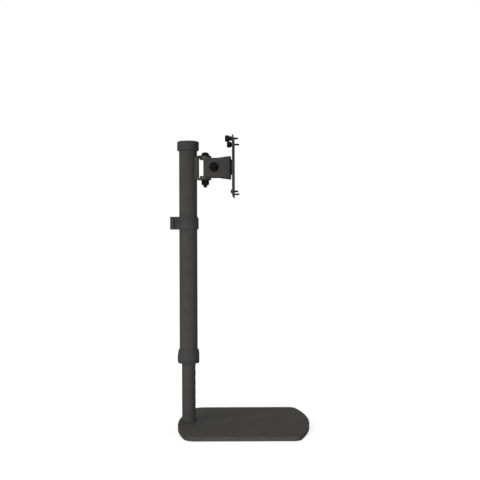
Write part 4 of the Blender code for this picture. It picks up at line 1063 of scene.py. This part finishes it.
def floor():
    """Pale floor that throws light back as a white sheet does. To the camera it is white where
    nothing shades it: at a distance d (metres) from the lamps' middle it glows by what their light
    leaves it short of white, full - dip / (1 + (d / fall)^2)^1.5."""
    middle, full, dip, fall = (-0.45, -0.3, 0), 1.001, 0.259, 2.8
    data = bpy.data.meshes.new("studio_floor")
    data.from_pydata([(-20, -20, 0), (20, -20, 0), (20, 20, 0), (-20, 20, 0)], [], [(0, 1, 2, 3)])
    made = bpy.data.materials.new("studio_floor")
    made.use_nodes = True
    tree = made.node_tree
    tree.nodes.clear()
    seen = added(tree, "LightPath").outputs["Is Camera Ray"]
    tone = added(tree, "Mix", {"Factor": seen, 6: (0.8, 0.8, 0.8, 1), 7: (0.35, 0.35, 0.35, 1)},
                 data_type="RGBA")
    matt = added(tree, "BsdfDiffuse", {"Color": tone.outputs[2]})
    place = added(tree, "TexCoord").outputs["Object"]
    level = added(tree, "VectorMath", {0: place, 1: middle}, operation="DISTANCE").outputs["Value"]
    for operation, value in (("DIVIDE", fall), ("POWER", 2.0), ("ADD", 1.0), ("POWER", -1.5),
                             ("MULTIPLY", -dip), ("ADD", full), ("MULTIPLY", seen)):
        level = added(tree, "Math", {0: level, 1: value}, operation=operation).outputs["Value"]
    glow = added(tree, "Emission", {"Strength": level})
    both = added(tree, "AddShader", {0: matt.outputs["BSDF"], 1: glow.outputs["Emission"]})
    added(tree, "OutputMaterial", {"Surface": both.outputs["Shader"]})
    data.materials.append(made)
    piece = placed("studio_floor", data)


def backdrop(ambient):
    """World: white where the camera, a reflection or a clear body looks, and soft light elsewhere."""
    world = bpy.data.worlds.new("studio")
    bpy.context.scene.world = world
    world.use_nodes = True
    tree = world.node_tree
    tree.nodes.clear()
    path = added(tree, "LightPath")
    seen = path.outputs["Is Camera Ray"]
    for other in ("Is Glossy Ray", "Is Transmission Ray"):
        seen = added(tree, "Math", {0: seen, 1: path.outputs[other]}, operation="MAXIMUM").outputs["Value"]
    level = added(tree, "MapRange", {"Value": seen, "To Min": ambient, "To Max": 1.0}).outputs["Result"]
    light = added(tree, "Background", {"Color": (1, 1, 1, 1), "Strength": level})
    added(tree, "OutputWorld", {"Surface": light.outputs["Background"]})


def softbox(name, place, aim, size, power):
    """Soft rectangular lamp (metres, watts) that looks from its place at a point. The camera
    doesn't see it."""
    data = bpy.data.lights.new(name, "AREA")
    data.shape = "RECTANGLE"
    data.size, data.size_y = size
    data.energy = power
    lamp = placed(name, data)
    lamp.location = place
    lamp.rotation_euler = (Vector(aim) - Vector(place)).to_track_quat("-Z", "Y").to_euler()
    lamp.visible_camera = False


def camera():
    """Camera of the photograph: level, off the stand's near side, a fifth of a degree off plumb."""
    data = bpy.data.cameras.new("camera")
    data.sensor_width = 36.0
    data.lens = 62.25
    data.shift_x = -0.0347
    data.clip_start, data.clip_end = 0.05, 60.0
    piece = placed("camera", data)
    piece.location = (0.1332, -1.6185, 0.3615)
    upright = Euler((math.radians(90), 0, 0)).to_matrix()
    piece.rotation_euler = (upright @ Matrix.Rotation(math.radians(-0.2), 3, "Z")).to_euler()
    bpy.context.scene.camera = piece


floor()
backdrop(ambient=0.07)
softbox("key_light", (-2.6, -3.2, 2.15), aim=(0.05, 0, 0.3), size=(3.7, 3.1), power=138.0)
softbox("top_light", (-0.2, 0.3, 2.4), aim=(0.1, 0, 0.2), size=(1.4, 1.4), power=26.0)
softbox("low_light", (0.2, -0.72, 0.04), aim=(0.06, 0, 0.05), size=(0.7, 0.05), power=2.5)
camera()
bpy.context.scene.view_settings.view_transform = "Standard"
